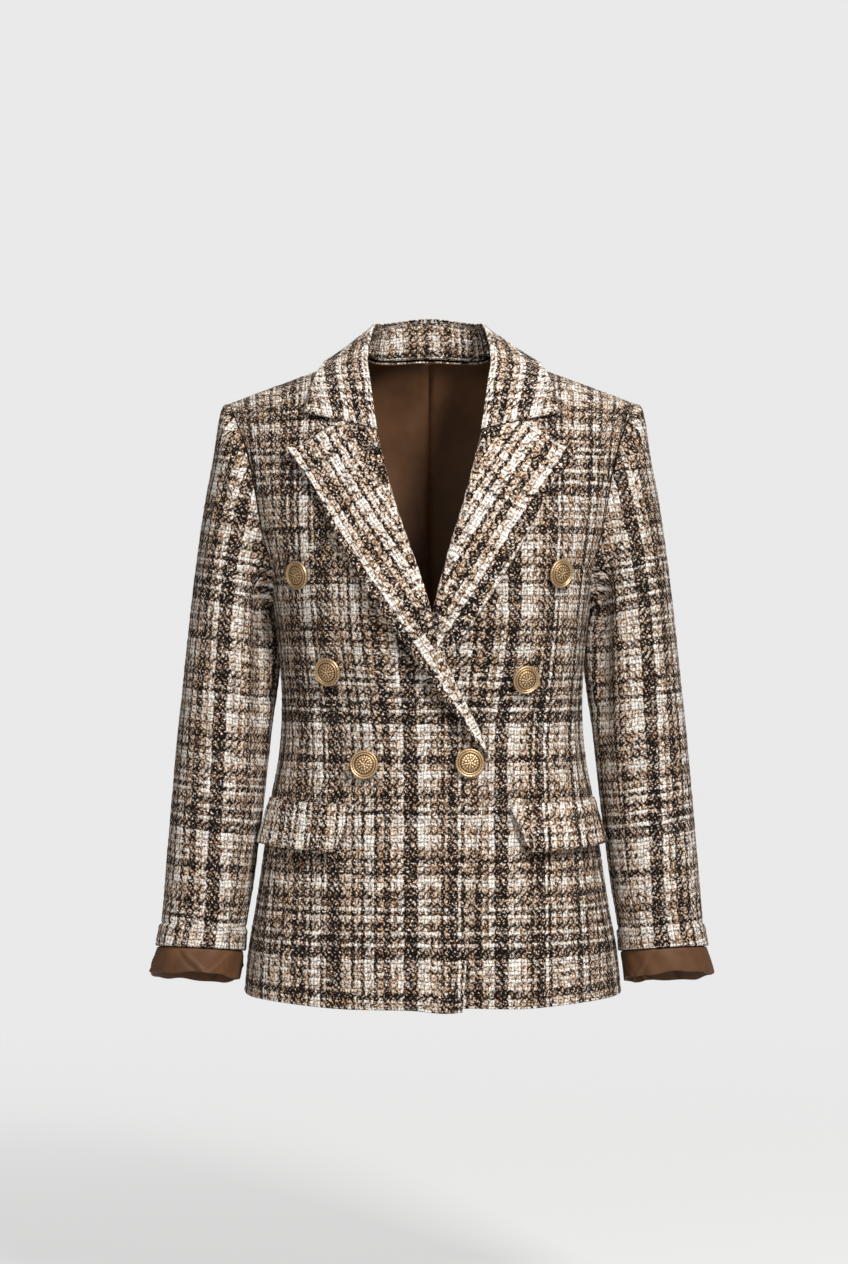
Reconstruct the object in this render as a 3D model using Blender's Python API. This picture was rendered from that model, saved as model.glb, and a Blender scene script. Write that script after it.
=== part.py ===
"""Double-breasted tweed jacket in the hollow form it has when worn.

+X is the wearer's left, the front faces -Y and +Z is up. The origin lies between the two points where
the shoulder line meets the neck, which is where the wearer carries the jacket. Tables and sizes are in
millimetres; MM scales them once, when a mesh is built.
"""

import math
from collections import namedtuple

import bmesh
import bpy
from mathutils import Matrix, Vector

MM = 0.001

# Driving sizes, in millimetres
CLOTH = 2.8  # tweed with its fused backing
SEAM = 0.3  # clear gap between two pieces that are sewn together
SLEEVE_GAP = 0.7  # wider round the sleeves, whose seams curve most
DOUBLE_CLOTH = 3.8  # lapel, collar fall and flap: two layers pressed flat
LINING = 1.4
RIDGE_Y = 3.0  # the shoulder seam, seen from above
HEM_Z = -605.0
CORNER_Z = -198.0  # where the side panel's two seams reach the armhole
UNDERARM_Z = -231.5
LIES_OFF = 0.8  # gap under what lies on a panel
OVER_LAPEL = 8.6  # how far the right front is held out where it passes over the left lapel
OVER_FRONT = 4.4  # and where it passes over the left front alone
BREAK_Z = -375.0  # where the lapels start to roll
CUFF_SHOWS = 27.0  # lining below the cuff
BUTTON_RADIUS = 13.5
BUTTON_HEIGHT = 7.6

# The body's horizontal sections, from the hem (rise 0) past the armhole corner (1) to the shoulder
# ridge (2). height is that of the section's side; it climbs towards the neck by slope. armhole_x is the
# half width between the armhole seams.
Section = namedtuple("Section", "rise height half_width front back roundness slope armhole_x")
BODY = [
    Section(0.00, HEM_Z, 180.5, 124, 120, 2.5, 0.0, 150.0),
    Section(0.12, -557, 176.0, 120, 114, 2.5, 0.0, 150.0),
    Section(0.22, -517, 169.0, 115, 107, 2.5, 0.0, 150.0),
    Section(0.34, -467, 161.5, 108, 99, 2.45, 0.0, 148.0),
    Section(0.46, -416, 154.5, 103, 92, 2.4, 0.0, 146.0),
    Section(0.56, -375, 147.0, 100, 88, 2.35, 0.0, 142.0),
    Section(0.66, -331, 144.0, 102, 88, 2.35, 0.0, 140.0),
    Section(0.76, -290, 145.5, 110, 93, 2.4, 0.0, 142.0),
    Section(0.88, -245, 149.5, 120, 99, 2.4, 0.0, 146.0),
    Section(1.00, CORNER_Z, 158.0, 125, 104, 2.4, 0.0, 151.0),
    Section(1.20, -165, 169.5, 121, 109, 2.4, 0.09, 160.0),
    Section(1.40, -130, 177.5, 112, 110, 2.4, 0.19, 166.3),
    Section(1.60, -95, 184.0, 97, 104, 2.4, 0.285, 173.2),
    Section(1.75, -68, 192.0, 77, 91, 2.4, 0.345, 182.0),
    Section(1.87, -50, 198.0, 52, 70, 2.4, 0.375, 189.5),
    Section(1.95, -41, 201.0, 24, 38, 2.4, 0.385, 193.0),
    Section(2.00, -38, 202.5, 0, 0, 2.4, 0.385, 194.5),
]
SIDE_ROWS = 11  # facets up to the armhole, in step on both sides of a seam
FLANK_X = 150.0  # half width at which a height on the flank is turned into a rise
NECK_ROUNDING = 40.0  # half width over which the slope of the shoulders levels off at the nape

# How far round the body, in degrees from the front centre, the side panel's two seams lie
SideSeams = namedtuple("SideSeams", "rise front back")
SIDE_SEAMS = [
    SideSeams(0.0, 66.0, 112.0),
    SideSeams(0.5, 68.0, 110.0),
    SideSeams(1.0, 71.25, 108.75),
]

SEAM_BLEND = 0.3  # rise above the corner over which the side seam's line goes over into the armhole's

# The edge of each front towards the other, as x on the front that laps over: the hem corner, the straight
# edge, the break, then the roll line of the lapel up to the neck
FrontEdge = namedtuple("FrontEdge", "height across")
FRONT_EDGE = [
    FrontEdge(HEM_Z, 27.5),
    FrontEdge(-530.0, 34.7),
    FrontEdge(-440.0, 44.0),
    FrontEdge(BREAK_Z, 50.0),
    FrontEdge(-331.0, 35.5),
    FrontEdge(-301.0, 21.0),
    FrontEdge(-269.0, 7.5),
    FrontEdge(-222.0, -4.0),
    FrontEdge(-174.0, -19.0),
    FrontEdge(-132.0, -32.5),
    FrontEdge(-89.0, -43.5),
    FrontEdge(-48.0, -52.5),
    FrontEdge(-13.0, -57.5),
    FrontEdge(14.0, -61.5),
]

# The lapel's outer edge, from the break to the peak
LAPEL_EDGE = [
    FrontEdge(BREAK_Z + 2.0, 48.5),
    FrontEdge(-341.0, 28.5),
    FrontEdge(-281.0, -11.5),
    FrontEdge(-222.0, -53.0),
    FrontEdge(-166.0, -86.5),
    FrontEdge(-122.0, -107.5),
    FrontEdge(-82.0, -135.5),
]
PEAK = (-135.5, -82.0)
NOTCH_X = -81.5  # where the seam of lapel and collar ends
GORGE_GAP = 0.3  # between the lapel and the collar's front end, along that seam
LAPEL_SAG = 7.5  # how far the lapel's top edge hangs below the straight line from notch to peak

# The collar, from its front end to the centre back. neck_x and neck_over place the neck seam on the
# body, over being the rise past the shoulder ridge (negative in front of it). lean, back and up carry
# the fold line from that seam. edge_x and edge_over place the outer edge.
Collar = namedtuple("Collar", "along neck_x neck_over lean back up edge_x edge_over")
COLLAR = [
    Collar(0.00, 47.5, -0.435, 0.0, 0.0, 0.0, 119.5, -0.286),
    Collar(0.16, 54.0, -0.240, 0.0, 0.0, 0.0, 111.5, -0.170),
    Collar(0.30, 57.5, -0.120, -0.5, 1.0, 4.0, 104.0, -0.080),
    Collar(0.42, 61.5, 0.000, -9.0, 2.0, 22.0, 97.0, 0.000),
    Collar(0.56, 59.5, 0.040, -8.6, 5.0, 31.0, 89.0, 0.090),
    Collar(0.72, 48.0, 0.085, -6.5, 5.0, 35.0, 70.0, 0.170),
    Collar(0.86, 26.0, 0.115, -3.0, 2.5, 37.5, 38.0, 0.215),
    Collar(1.00, 0.0, 0.125, 0.0, 0.0, 38.5, 0.0, 0.230),
]
FALL_ROLL = 2.5  # how far the fall swells out just below its fold
NECK_SWAY = -3.0  # the neck of this worn jacket sits this far off the middle of its shoulders
STAND_FROM = 0.34  # the stand runs from here; in front of it the fold lies on the neck seam
STAND_FOOT = 1.2  # its lower edge, above the neck seam
STAND_BELOW_FOLD = 6.5

# The sleeve's sections, from the armhole seam (0) over the sleeve head to the cuff (12)
Ring = namedtuple("Ring", "along outer_x outer_z inner_x inner_z front back middle_y")
SLEEVE = [
    Ring(0, 194.5, -35.0, 153.4, -231.0, 51.0, 51.0, 0.0),
    Ring(1, 200.5, -39.0, 155.2, -233.0, 52.0, 52.0, 0.5),
    Ring(2, 204.5, -54.0, 156.2, -235.5, 53.0, 54.0, 1.0),
    Ring(3, 209.5, -88.0, 156.4, -239.0, 55.0, 56.0, 2.0),
    Ring(4, 217.5, -131.0, 155.8, -243.5, 57.0, 58.0, 2.0),
    Ring(5, 225.0, -182.0, 154.6, -250.0, 58.5, 59.5, 2.0),
    Ring(6, 232.0, -240.0, 152.4, -264.0, 58.0, 60.0, 2.0),
    Ring(7, 238.5, -303.0, 151.0, -308.0, 56.0, 58.0, 1.0),
    Ring(8, 243.5, -350.0, 155.0, -358.0, 53.0, 54.0, -1.0),
    Ring(9, 249.5, -418.0, 162.0, -425.0, 49.0, 50.0, -3.0),
    Ring(10, 255.0, -486.0, 170.5, -493.0, 45.0, 46.0, -8.0),
    Ring(11, 258.5, -531.0, 177.5, -536.5, 42.5, 43.0, -13.0),
    Ring(12, 262.5, -556.0, 179.5, -560.5, 43.0, 43.5, -15.0),
]
HEAD_END = 3.0  # the sleeve head, drawn to the armhole, ends at this section
SLEEVE_TIP = 0.008  # how much each section's front rises, for each millimetre that the arm reaches forward
SLEEVE_SEAMS = (128.0, -118.0)  # degrees round the sleeve from its outer side, towards the front first
ARMHOLE_CORNER = 132.0  # the same, where the side panel's corners lie on the armhole
SLEEVE_ROUNDNESS = 2.2
TOP_COLUMNS = 14  # facets round the top sleeve
UNDER_COLUMNS = 6

# The stretch of lining that shows: distance past the cuff edge, and how far out of the cuff's inside
# surface its two faces lie
Turn = namedtuple("Turn", "past out")
LINING_FACES = [
    Turn(-11.0, -0.5),
    Turn(-1.0, -0.5),
    Turn(4.0, 0.6),
    Turn(13.0, 1.9),
    Turn(22.0, 2.9),
    Turn(CUFF_SHOWS, 1.9),
    Turn(CUFF_SHOWS - 1.0, 0.2),
    Turn(20.0, -0.6),
    Turn(12.0, -0.8),
    Turn(4.0, -1.3),
    Turn(-1.0, -0.5 - LINING),
    Turn(-11.0, -0.5 - LINING),
]
LAST_SECTION = 24.0  # length of the sleeve's last stretch, from one section to the next
LINING_SLANT = 0.13  # the share by which it shows less in front and more behind
LINING_SHIFT = 3.6  # of the band's lower edge, away from the body

# The pocket flap: degrees round the body and height of its front and back ends, top and bottom
FLAP_FRONT = (24.5, 28.5)
FLAP_BACK = (76.5, 77.5)
FLAP_TOP_Z = (-417.0, -413.0)
FLAP_BOTTOM_Z = (-462.0, -457.0)
FLAP_STANDS_OFF = 6.5  # of its lower edge, from the body

# Button centres as x and z, and the front each is sewn to
Button = namedtuple("Button", "number side across height")
BUTTONS = [
    Button(1, "right", -123.0, -202.5),
    Button(2, "right", -95.5, -292.5),
    Button(3, "right", -61.0, -379.5),
    Button(4, "left", 117.0, -201.0),
    Button(5, "left", 85.5, -299.5),
    Button(6, "right", 33.5, -377.5),
]
# The button's turned outline, as radius and height, from the top centre to the foot of its shank
BUTTON_OUTLINE = [
    (0.0, BUTTON_HEIGHT),
    (5.0, BUTTON_HEIGHT - 0.2),
    (9.5, BUTTON_HEIGHT - 1.1),
    (10.6, BUTTON_HEIGHT - 1.9),
    (12.0, BUTTON_HEIGHT - 1.6),
    (BUTTON_RADIUS, BUTTON_HEIGHT - 2.8),
    (BUTTON_RADIUS, BUTTON_HEIGHT - 3.9),
    (11.5, BUTTON_HEIGHT - 4.9),
    (3.2, BUTTON_HEIGHT - 5.2),
    (3.2, 0.0),
    (0.0, 0.0),
]
BUTTON_SIDES = 18

TWEED = (0.46, 0.37, 0.29)
LAPEL_TWEED = (0.52, 0.43, 0.34)
SATIN = (0.14, 0.06, 0.028)
GOLD = (0.52, 0.36, 0.16)


def read(table, at):
    """The table's row at any value of its first column, on smooth curves through its rows."""
    last = len(table) - 1
    at = min(max(at, table[0][0]), table[last][0])
    i = 0
    while i < last - 1 and at > table[i + 1][0]:
        i += 1
    low, high = table[i], table[i + 1]
    before, after = table[max(i - 1, 0)], table[min(i + 2, last)]
    width = high[0] - low[0]
    t = (at - low[0]) / width
    row = [at]
    for column in range(1, len(low)):
        leaving = width * (high[column] - before[column]) / (high[0] - before[0])
        coming = width * (after[column] - low[column]) / (after[0] - low[0])
        curve = (2 * t**3 - 3 * t**2 + 1) * low[column] + (t**3 - 2 * t**2 + t) * leaving
        row.append(curve + (3 * t**2 - 2 * t**3) * high[column] + (t**3 - t**2) * coming)
    return type(low)(*row)


def solve(wanted, measure, low, high):
    """The value between low and high at which measure, which climbs, gives the wanted number."""
    for _ in range(30):
        middle = (low + high) / 2
        if measure(middle) < wanted:
            low = middle
        else:
            high = middle
    return (low + high) / 2


def power(value, exponent):
    return math.copysign(abs(value) ** exponent, value)


def smooth_step(value):
    t = min(max(value, 0.0), 1.0)
    return t * t * (3 - 2 * t)


def mix(a, b, t):
    return a + (b - a) * t


def spread(low, high, count):
    """Evenly spaced values, both ends included."""
    return [mix(low, high, i / count) for i in range(count + 1)]


# The body's surface


def torso(turn, rise):
    """The cloth's outer face, turn degrees round from the front centre and rise up the body."""
    row = read(BODY, rise)
    angle = math.radians(turn)
    x = row.half_width * power(math.sin(angle), 2 / row.roundness)
    facing = math.cos(angle)
    depth = row.front if facing > 0 else row.back
    y = RIDGE_Y - power(facing, 2 / row.roundness) * depth
    return Vector((x, y, climb(row, x)))


def climb(row, x):
    """A section's height at this x, higher towards the neck."""
    return row.height + row.slope * (row.half_width - math.hypot(x, NECK_ROUNDING))


def turn_at(x, rise, behind=False):
    """The turn at which the body's section has this x."""
    row = read(BODY, rise)
    share = min(abs(x) / row.half_width, 1.0) ** (row.roundness / 2)
    turn = math.degrees(math.asin(share))
    return math.copysign(180 - turn if behind else turn, x)


def rise_at(x, z):
    """The rise at which the body's section passes this height at this x."""
    return solve(z, lambda rise: climb(read(BODY, rise), x), 0.0, 2.0)


def outward(surface, u, v, du=0.5, dv=0.004):
    """A surface's point at (u, v) and its unit normal, pointing away from the body's axis."""
    point = surface(u, v)
    along_u = surface(u + du, v) - surface(u - du, v)
    along_v = surface(u, v + dv) - surface(u, v - dv)
    normal = along_u.cross(along_v).normalized()
    return point, normal


def skin(turn, rise):
    """The body's outer face and normal. On the shoulder seam the normal leans to neither side of it."""
    point, normal = outward(torso, turn, rise)
    if rise > 2.0 - 1e-6:
        normal = Vector((normal.x, 0, normal.z)).normalized()
    return point, normal


def body_turn_seams(rise):
    """The turns of the body's front and back outer edges: the side seams, then the armhole."""
    if rise <= 1.0:
        row = read(SIDE_SEAMS, rise)
        return row.front, row.back
    row = read(BODY, rise)
    corner = read(BODY, 1.0)
    corner_turn = turn_at(corner.armhole_x, 1.0)
    seam = read(SIDE_SEAMS, 1.0).front
    turn = turn_at(row.armhole_x, rise) + (seam - corner_turn) * max(0.0, 1 - (rise - 1) / SEAM_BLEND)
    return turn, 180 - turn


def over_lap(x, z):
    """How far the right front is held out, where it passes over the left front and its lapel."""
    across = smooth_step((x + 92) / 50)
    upwards = smooth_step((-188 - z) / 40)
    below_break = smooth_step((BREAK_Z - 8 - z) / 60)
    return mix(OVER_LAPEL, OVER_FRONT, below_break) * across * upwards


def front_edge(z):
    return read(FRONT_EDGE, z).across


def on_front(x, z, lift, side):
    """The point and normal lift above the cloth of one front. x and z are those of the right front,
    which the left one mirrors."""
    rise = rise_at(x, z)
    point, normal = skin(turn_at(x, rise), rise)
    if side == "right":
        lift = lift + over_lap(x, z)
    point = point + normal * lift
    return placed(point, side), placed(normal, side)


def placed(vector, side):
    """The right side is modelled; the left is its mirror image."""
    return Vector((-vector.x, vector.y, vector.z)) if side == "left" else vector


# Sheets: each is a grid of (outer point, normal)


def front_sheet(side, columns=8):
    rises = spread(0.0, 2.0, 2 * SIDE_ROWS)
    grid = []
    for rise in rises:
        x = 0.0
        for _ in range(12):
            row = read(BODY, rise)
            x = front_edge(climb(row, x))
        inner = turn_at(x, rise)
        outer = -body_turn_seams(rise)[0]
        line = []
        for column in range(columns + 1):
            turn = mix(outer, inner, column / columns)
            point, normal = skin(turn, rise)
            if side == "right":
                point = point + normal * over_lap(point.x, point.z)
            line.append((placed(point, side), placed(normal, side)))
        grid.append(line)
    return grid


def back_sheet(side, columns=8):
    back_neck = 2.0 - COLLAR[-1].neck_over
    neck = [row for row in COLLAR if row.neck_over >= 0]
    rises = spread(0.0, 1.0, SIDE_ROWS) + spread(1.0, back_neck, 9)[1:]
    edges = [(rise, 0.0) for rise in rises]
    edges += [(2.0 - row.neck_over, row.neck_x) for row in reversed(neck[:-1])]
    grid = []
    for rise, x in edges:
        inner = turn_at(x, rise, behind=True)
        outer = body_turn_seams(rise)[1]
        line = []
        for column in range(columns + 1):
            turn = mix(inner, outer, column / columns)
            point, normal = skin(turn, rise)
            line.append((placed(point, side), placed(normal, side)))
        grid.append(line)
    return mirrored(grid)


def mirrored(grid):
    """Swaps left for right, for a sheet worked out on the wearer's left."""
    flip = Vector((-1, 1, 1))
    return [[(point * flip, normal * flip) for point, normal in line] for line in grid]


def armhole_floor(turn):
    """Height of the side panel's top edge, which is the armhole's floor."""
    half = 90 - SIDE_SEAMS[-1].front
    return mix(UNDERARM_Z, CORNER_Z, min(abs(turn - 90) / half, 1.0) ** 2.2)


def side_sheet(side, columns=6):
    grid = []
    for r in range(SIDE_ROWS + 1):
        line = []
        for column in range(columns + 1):
            share = column / columns
            around = mix(SIDE_SEAMS[-1].front, SIDE_SEAMS[-1].back, share)
            top = rise_at(FLANK_X, armhole_floor(around))
            rise = top * r / SIDE_ROWS
            seams = body_turn_seams(min(rise, 1.0))
            point, normal = skin(mix(*seams, share), rise)
            line.append((placed(point, side), placed(normal, side)))
        grid.append(line)
    return mirrored(grid)


def armhole(turn):
    """The armhole seam, turn degrees round the sleeve from the shoulder point towards the front."""
    turn = (turn + 180) % 360 - 180
    if abs(turn) >= ARMHOLE_CORNER:
        past = (abs(turn) - ARMHOLE_CORNER) / (180 - ARMHOLE_CORNER)
        around = mix(SIDE_SEAMS[-1].front, 90.0, past)
        if turn < 0:
            around = 180 - around
        return torso(around, rise_at(FLANK_X, armhole_floor(around)))
    height = plain_sleeve(turn, 0.0).z

    def edge(rise):
        return torso(body_turn_seams(rise)[0], rise).z

    rise = solve(height, edge, 1.0, 2.0)
    return torso(body_turn_seams(rise)[0 if turn >= 0 else 1], rise)


def plain_sleeve(turn, along):
    row = read(SLEEVE, along)
    angle = math.radians(turn)
    middle = Vector((row.outer_x + row.inner_x, 2 * row.middle_y, row.outer_z + row.inner_z)) / 2
    reach = Vector((row.outer_x - row.inner_x, 0, row.outer_z - row.inner_z)) / 2
    out = power(math.cos(angle), 2 / SLEEVE_ROUNDNESS)
    forward = power(math.sin(angle), 2 / SLEEVE_ROUNDNESS)
    depth = row.front if forward > 0 else row.back
    tip = -row.middle_y * SLEEVE_TIP if row.middle_y < 0 else 0.0
    return middle + reach * out - Vector((0, 1, -tip)) * depth * forward


def sleeve(turn, along):
    """The sleeve's outer face, which starts on the armhole seam and leaves it over the head."""
    point = plain_sleeve(turn, along)
    if along < HEAD_END:
        point = point + (armhole(turn) - plain_sleeve(turn, 0.0)) * (1 - along / HEAD_END) ** 2
    return point


def sleeve_sheet(side, first, last, columns, rows=18):
    grid = []
    for along in spread(0.0, SLEEVE[-1].along, rows):
        line = []
        for column in range(columns + 1):
            turn = mix(first, last, column / columns)
            point, normal = outward(sleeve, turn, along, 1.0, 0.02)
            line.append((placed(point, side), placed(normal, side)))
        grid.append(line)
    return mirrored(grid)


def lapel_sheet(side, rows=14, columns=5):
    """From the roll line to the outer edge, and from the break up to the gorge and the peak."""
    grid = []
    gorge = gorge_point(read(COLLAR, 0.0).neck_x)
    for r in range(rows + 1):
        t = r / rows
        roll_z = mix(BREAK_Z + 6.0, gorge.y, t)
        roll = Vector((front_edge(roll_z) - 0.4, roll_z))
        edge_z = mix(LAPEL_EDGE[0].height, PEAK[1], t)
        edge = Vector((read(LAPEL_EDGE, edge_z).across, edge_z))
        line = []
        for column in range(columns + 1):
            s = column / columns
            flat = roll.lerp(edge, s) + top_edge(s, gorge) * t**4
            lift = LIES_OFF + DOUBLE_CLOTH
            line.append(on_front(flat.x, flat.y, lift, side))
        grid.append(line)
    return grid


def gorge_point(half_width):
    """x and z of the lapel's upper edge, just below the collar's front end."""
    collar = read(COLLAR, 0.0)
    share = (half_width - collar.neck_x) / (collar.edge_x - collar.neck_x)
    over = mix(collar.neck_over, collar.edge_over, share)
    return Vector((-half_width, over_ridge(half_width, over).z - GORGE_GAP))


def top_edge(s, gorge):
    """How far the lapel's top edge leaves the straight line from the gorge to the peak."""
    peak = Vector(PEAK)
    notch = gorge_point(-NOTCH_X)
    notch_s = (gorge.x - notch.x) / (gorge.x - peak.x)
    straight = gorge.lerp(peak, s)
    if s <= notch_s:
        return gorge_point(-straight.x) - straight
    past = (s - notch_s) / (1 - notch_s)
    sag = past**3 * (1 - past) / (0.75**3 * 0.25)
    return notch.lerp(peak, past) - Vector((0, LAPEL_SAG * sag)) - straight


def over_ridge(x, over):
    """A point of the right half of the body, over being the rise past the shoulder ridge."""
    rise = 2.0 - abs(over)
    return torso(-turn_at(abs(x), rise, behind=over > 0), rise)


def over_ridge_normal(x, over):
    near = over if abs(over) > 0.02 else math.copysign(0.02, over)
    rise = 2.0 - abs(near)
    return outward(torso, -turn_at(abs(x), rise, behind=near > 0), rise)[1]


def fall_point(along, across):
    """The outer face of the collar's fall on the wearer's right, from the fold to the outer edge."""
    row = read(COLLAR, along)
    x = mix(row.neck_x, row.edge_x, across)
    over = mix(row.neck_over, row.edge_over, across)
    lift = LIES_OFF + DOUBLE_CLOTH
    base = over_ridge(x, over) + over_ridge_normal(x, over) * lift
    fold = Vector((-row.lean, row.back, row.up))
    roll = FALL_ROLL * row.up / COLLAR[-1].up * math.sin(math.pi * across) ** 2
    swell = over_ridge_normal(x, over) * roll
    return base + fold * (1 - across) + swell * (1 - across)


def fall_sheet(rows=16, columns=4):
    """The whole fall, from the right front end round the neck to the left one."""
    half = []
    for r in range(rows + 1):
        along = r / rows
        line = []
        for column in range(columns + 1):
            across = column / columns
            line.append(fall_point(along, across))
        half.append(line)
    whole = half + [[placed(point, "left") for point in line] for line in reversed(half[:-1])]
    return with_normals(whole)


def stand_sheet(rows=10, columns=2):
    half = []
    for r in range(rows + 1):
        row = read(COLLAR, mix(STAND_FROM, 1.0, r / rows))
        foot = over_ridge(row.neck_x, row.neck_over) + Vector((0, 0, STAND_FOOT))
        fold = Vector((-row.lean, row.back, row.up - STAND_BELOW_FOLD + DOUBLE_CLOTH))
        top = foot + fold
        half.append([top.lerp(foot, column / columns) for column in range(columns + 1)])
    whole = half + [[placed(point, "left") for point in line] for line in reversed(half[:-1])]
    return with_normals(whole)


def with_normals(points):
    """Adds to a grid of points the normal of the surface through them."""
    grid = []
    for i, line in enumerate(points):
        below, above = points[max(i - 1, 0)], points[min(i + 1, len(points) - 1)]
        ready = []
        for j, point in enumerate(line):
            along = above[j] - below[j]
            across = line[min(j + 1, len(line) - 1)] - line[max(j - 1, 0)]
            ready.append((point, along.cross(across).normalized()))
        grid.append(ready)
    return grid


def flap_sheet(side, rows=3, columns=9):
    grid = []
    for r in range(rows + 1):
        t = r / rows
        line = []
        for column in range(columns + 1):
            s = column / columns
            front = mix(FLAP_FRONT[1], FLAP_FRONT[0], t)
            back = mix(FLAP_BACK[1], FLAP_BACK[0], t)
            z = mix(mix(*reversed(FLAP_BOTTOM_Z), s), mix(*reversed(FLAP_TOP_Z), s), t)
            point, normal = skin(-mix(back, front, s), rise_at(FLANK_X, z))
            lift = LIES_OFF + DOUBLE_CLOTH + FLAP_STANDS_OFF * (1 - t) ** 1.3
            if side == "right":
                lift += over_lap(point.x, point.z)
            line.append((placed(point + normal * lift, side), placed(normal, side)))
        grid.append(line)
    return grid


# Meshes


def swayed(point):
    """Shifts the neck, the collar and the tops of the lapels sideways, and nothing below or beside them."""
    beside = 1 - smooth_step((abs(point.x) - 50) / 70)
    above = smooth_step((point.z + 260) / 130)
    return point + Vector((NECK_SWAY * beside * above, 0, 0))


def drawn_in(grid, gap):
    """The same grid with its edges moved in by half a seam gap."""
    rows, columns = len(grid) - 1, len(grid[0]) - 1
    moved = [[point.copy() for point, _ in line] for line in grid]
    for j in range(columns + 1):
        for edge, inside in ((0, 1), (rows, rows - 1)):
            way = (grid[inside][j][0] - grid[edge][j][0]).normalized()
            moved[edge][j] += way * gap / 2
    for i in range(rows + 1):
        for edge, inside in ((0, 1), (columns, columns - 1)):
            way = (grid[i][inside][0] - grid[i][edge][0]).normalized()
            moved[i][edge] += way * gap / 2
    return [[(moved[i][j], grid[i][j][1]) for j in range(columns + 1)] for i in range(rows + 1)]


def wall(name, grid, thickness, material, gap=SEAM):
    """A cloth wall: a flat grid extruded once, its faces then moved to the sheet's two sides."""
    grid = drawn_in(grid, gap)
    rows, columns = len(grid) - 1, len(grid[0]) - 1
    mesh = bmesh.new()
    bmesh.ops.create_grid(mesh, x_segments=columns, y_segments=rows, size=1.0)
    extruded = bmesh.ops.extrude_face_region(mesh, geom=mesh.faces[:])
    outer = {item for item in extruded["geom"] if isinstance(item, bmesh.types.BMVert)}
    for vertex in mesh.verts:
        j = round((vertex.co.x + 1) / 2 * columns)
        i = round((vertex.co.y + 1) / 2 * rows)
        point, normal = grid[i][j]
        depth = 0.0 if vertex in outer else thickness
        vertex.co = swayed(point - normal * depth) * MM
    bmesh.ops.recalc_face_normals(mesh, faces=mesh.faces[:])
    return finish(name, mesh, material)


def finish(name, mesh, material):
    data = bpy.data.meshes.new(name)
    mesh.to_mesh(data)
    mesh.free()
    data.shade_smooth()
    data.set_sharp_from_angle(angle=math.radians(50))
    data.materials.append(material)
    piece = bpy.data.objects.new(name, data)
    bpy.context.scene.collection.objects.link(piece)
    return piece


def lining_cuff(side, material):
    """A closed band: its faces run down the outside, round the lower fold and up the inside."""
    cuff = SLEEVE[-1].along
    front, back = SLEEVE_SEAMS
    turns = spread(back, front, TOP_COLUMNS)[:-1] + spread(front, 360 + back, UNDER_COLUMNS)[:-1]
    faces = []
    for turn in LINING_FACES:
        line = []
        for around in turns:
            at = cuff + min(turn.past, 0.0) / LAST_SECTION
            point, normal = outward(sleeve, around, min(at, cuff - 0.02), 1.0, 0.02)
            down = (sleeve(around, cuff) - sleeve(around, cuff - 0.5)).normalized()
            if turn.past > 0:
                longer_behind = 1 - LINING_SLANT * math.sin(math.radians(around))
                point = sleeve(around, cuff) + down * turn.past * longer_behind
            point = point - normal * (CLOTH - turn.out)
            point.x += LINING_SHIFT * smooth_step(turn.past / CUFF_SHOWS)
            line.append(placed(placed(point, "left"), side) * MM)
        faces.append(line)
    mesh = bmesh.new()
    loops = []
    for line in faces:
        circle = bmesh.ops.create_circle(mesh, cap_ends=False, radius=1.0, segments=len(turns))
        for vertex, point in zip(circle["verts"], line):
            vertex.co = point
        loops.append([edge for edge in mesh.edges if all(v in circle["verts"] for v in edge.verts)])
    for k, loop in enumerate(loops):
        bmesh.ops.bridge_loops(mesh, edges=loop + loops[(k + 1) % len(loops)])
    bmesh.ops.recalc_face_normals(mesh, faces=mesh.faces[:])
    return finish("lining_cuff_" + side, mesh, material)


def button(spec, material):
    """A turned button with a shank, standing on the cloth at its place."""
    mesh = bmesh.new()
    verts = [mesh.verts.new((radius * MM, 0, height * MM)) for radius, height in BUTTON_OUTLINE]
    edges = [mesh.edges.new(pair) for pair in zip(verts, verts[1:])]
    bmesh.ops.spin(
        mesh,
        geom=verts + edges,
        axis=(0, 0, 1),
        cent=(0, 0, 0),
        steps=BUTTON_SIDES,
        angle=math.tau,
        use_merge=True,
    )
    bmesh.ops.remove_doubles(mesh, verts=mesh.verts[:], dist=1e-6)
    bmesh.ops.recalc_face_normals(mesh, faces=mesh.faces[:])
    piece = finish(f"button_{spec.number}", mesh, material)
    x = spec.across if spec.side == "right" else -spec.across
    foot, normal = on_front(x, spec.height, SEAM, spec.side)
    turn = Vector((0, 0, 1)).rotation_difference(normal).to_matrix().to_4x4()
    piece.matrix_world = Matrix.Translation(foot * MM) @ turn
    return piece


def coloured(name, colour, roughness, metallic=0.0):
    material = bpy.data.materials.new(name)
    material.use_nodes = True
    shader = material.node_tree.nodes["Principled BSDF"]
    shader.inputs["Base Color"].default_value = (*colour, 1.0)
    shader.inputs["Roughness"].default_value = roughness
    shader.inputs["Metallic"].default_value = metallic
    return material


def clear_scene():
    for item in list(bpy.data.objects):
        bpy.data.objects.remove(item)


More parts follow.
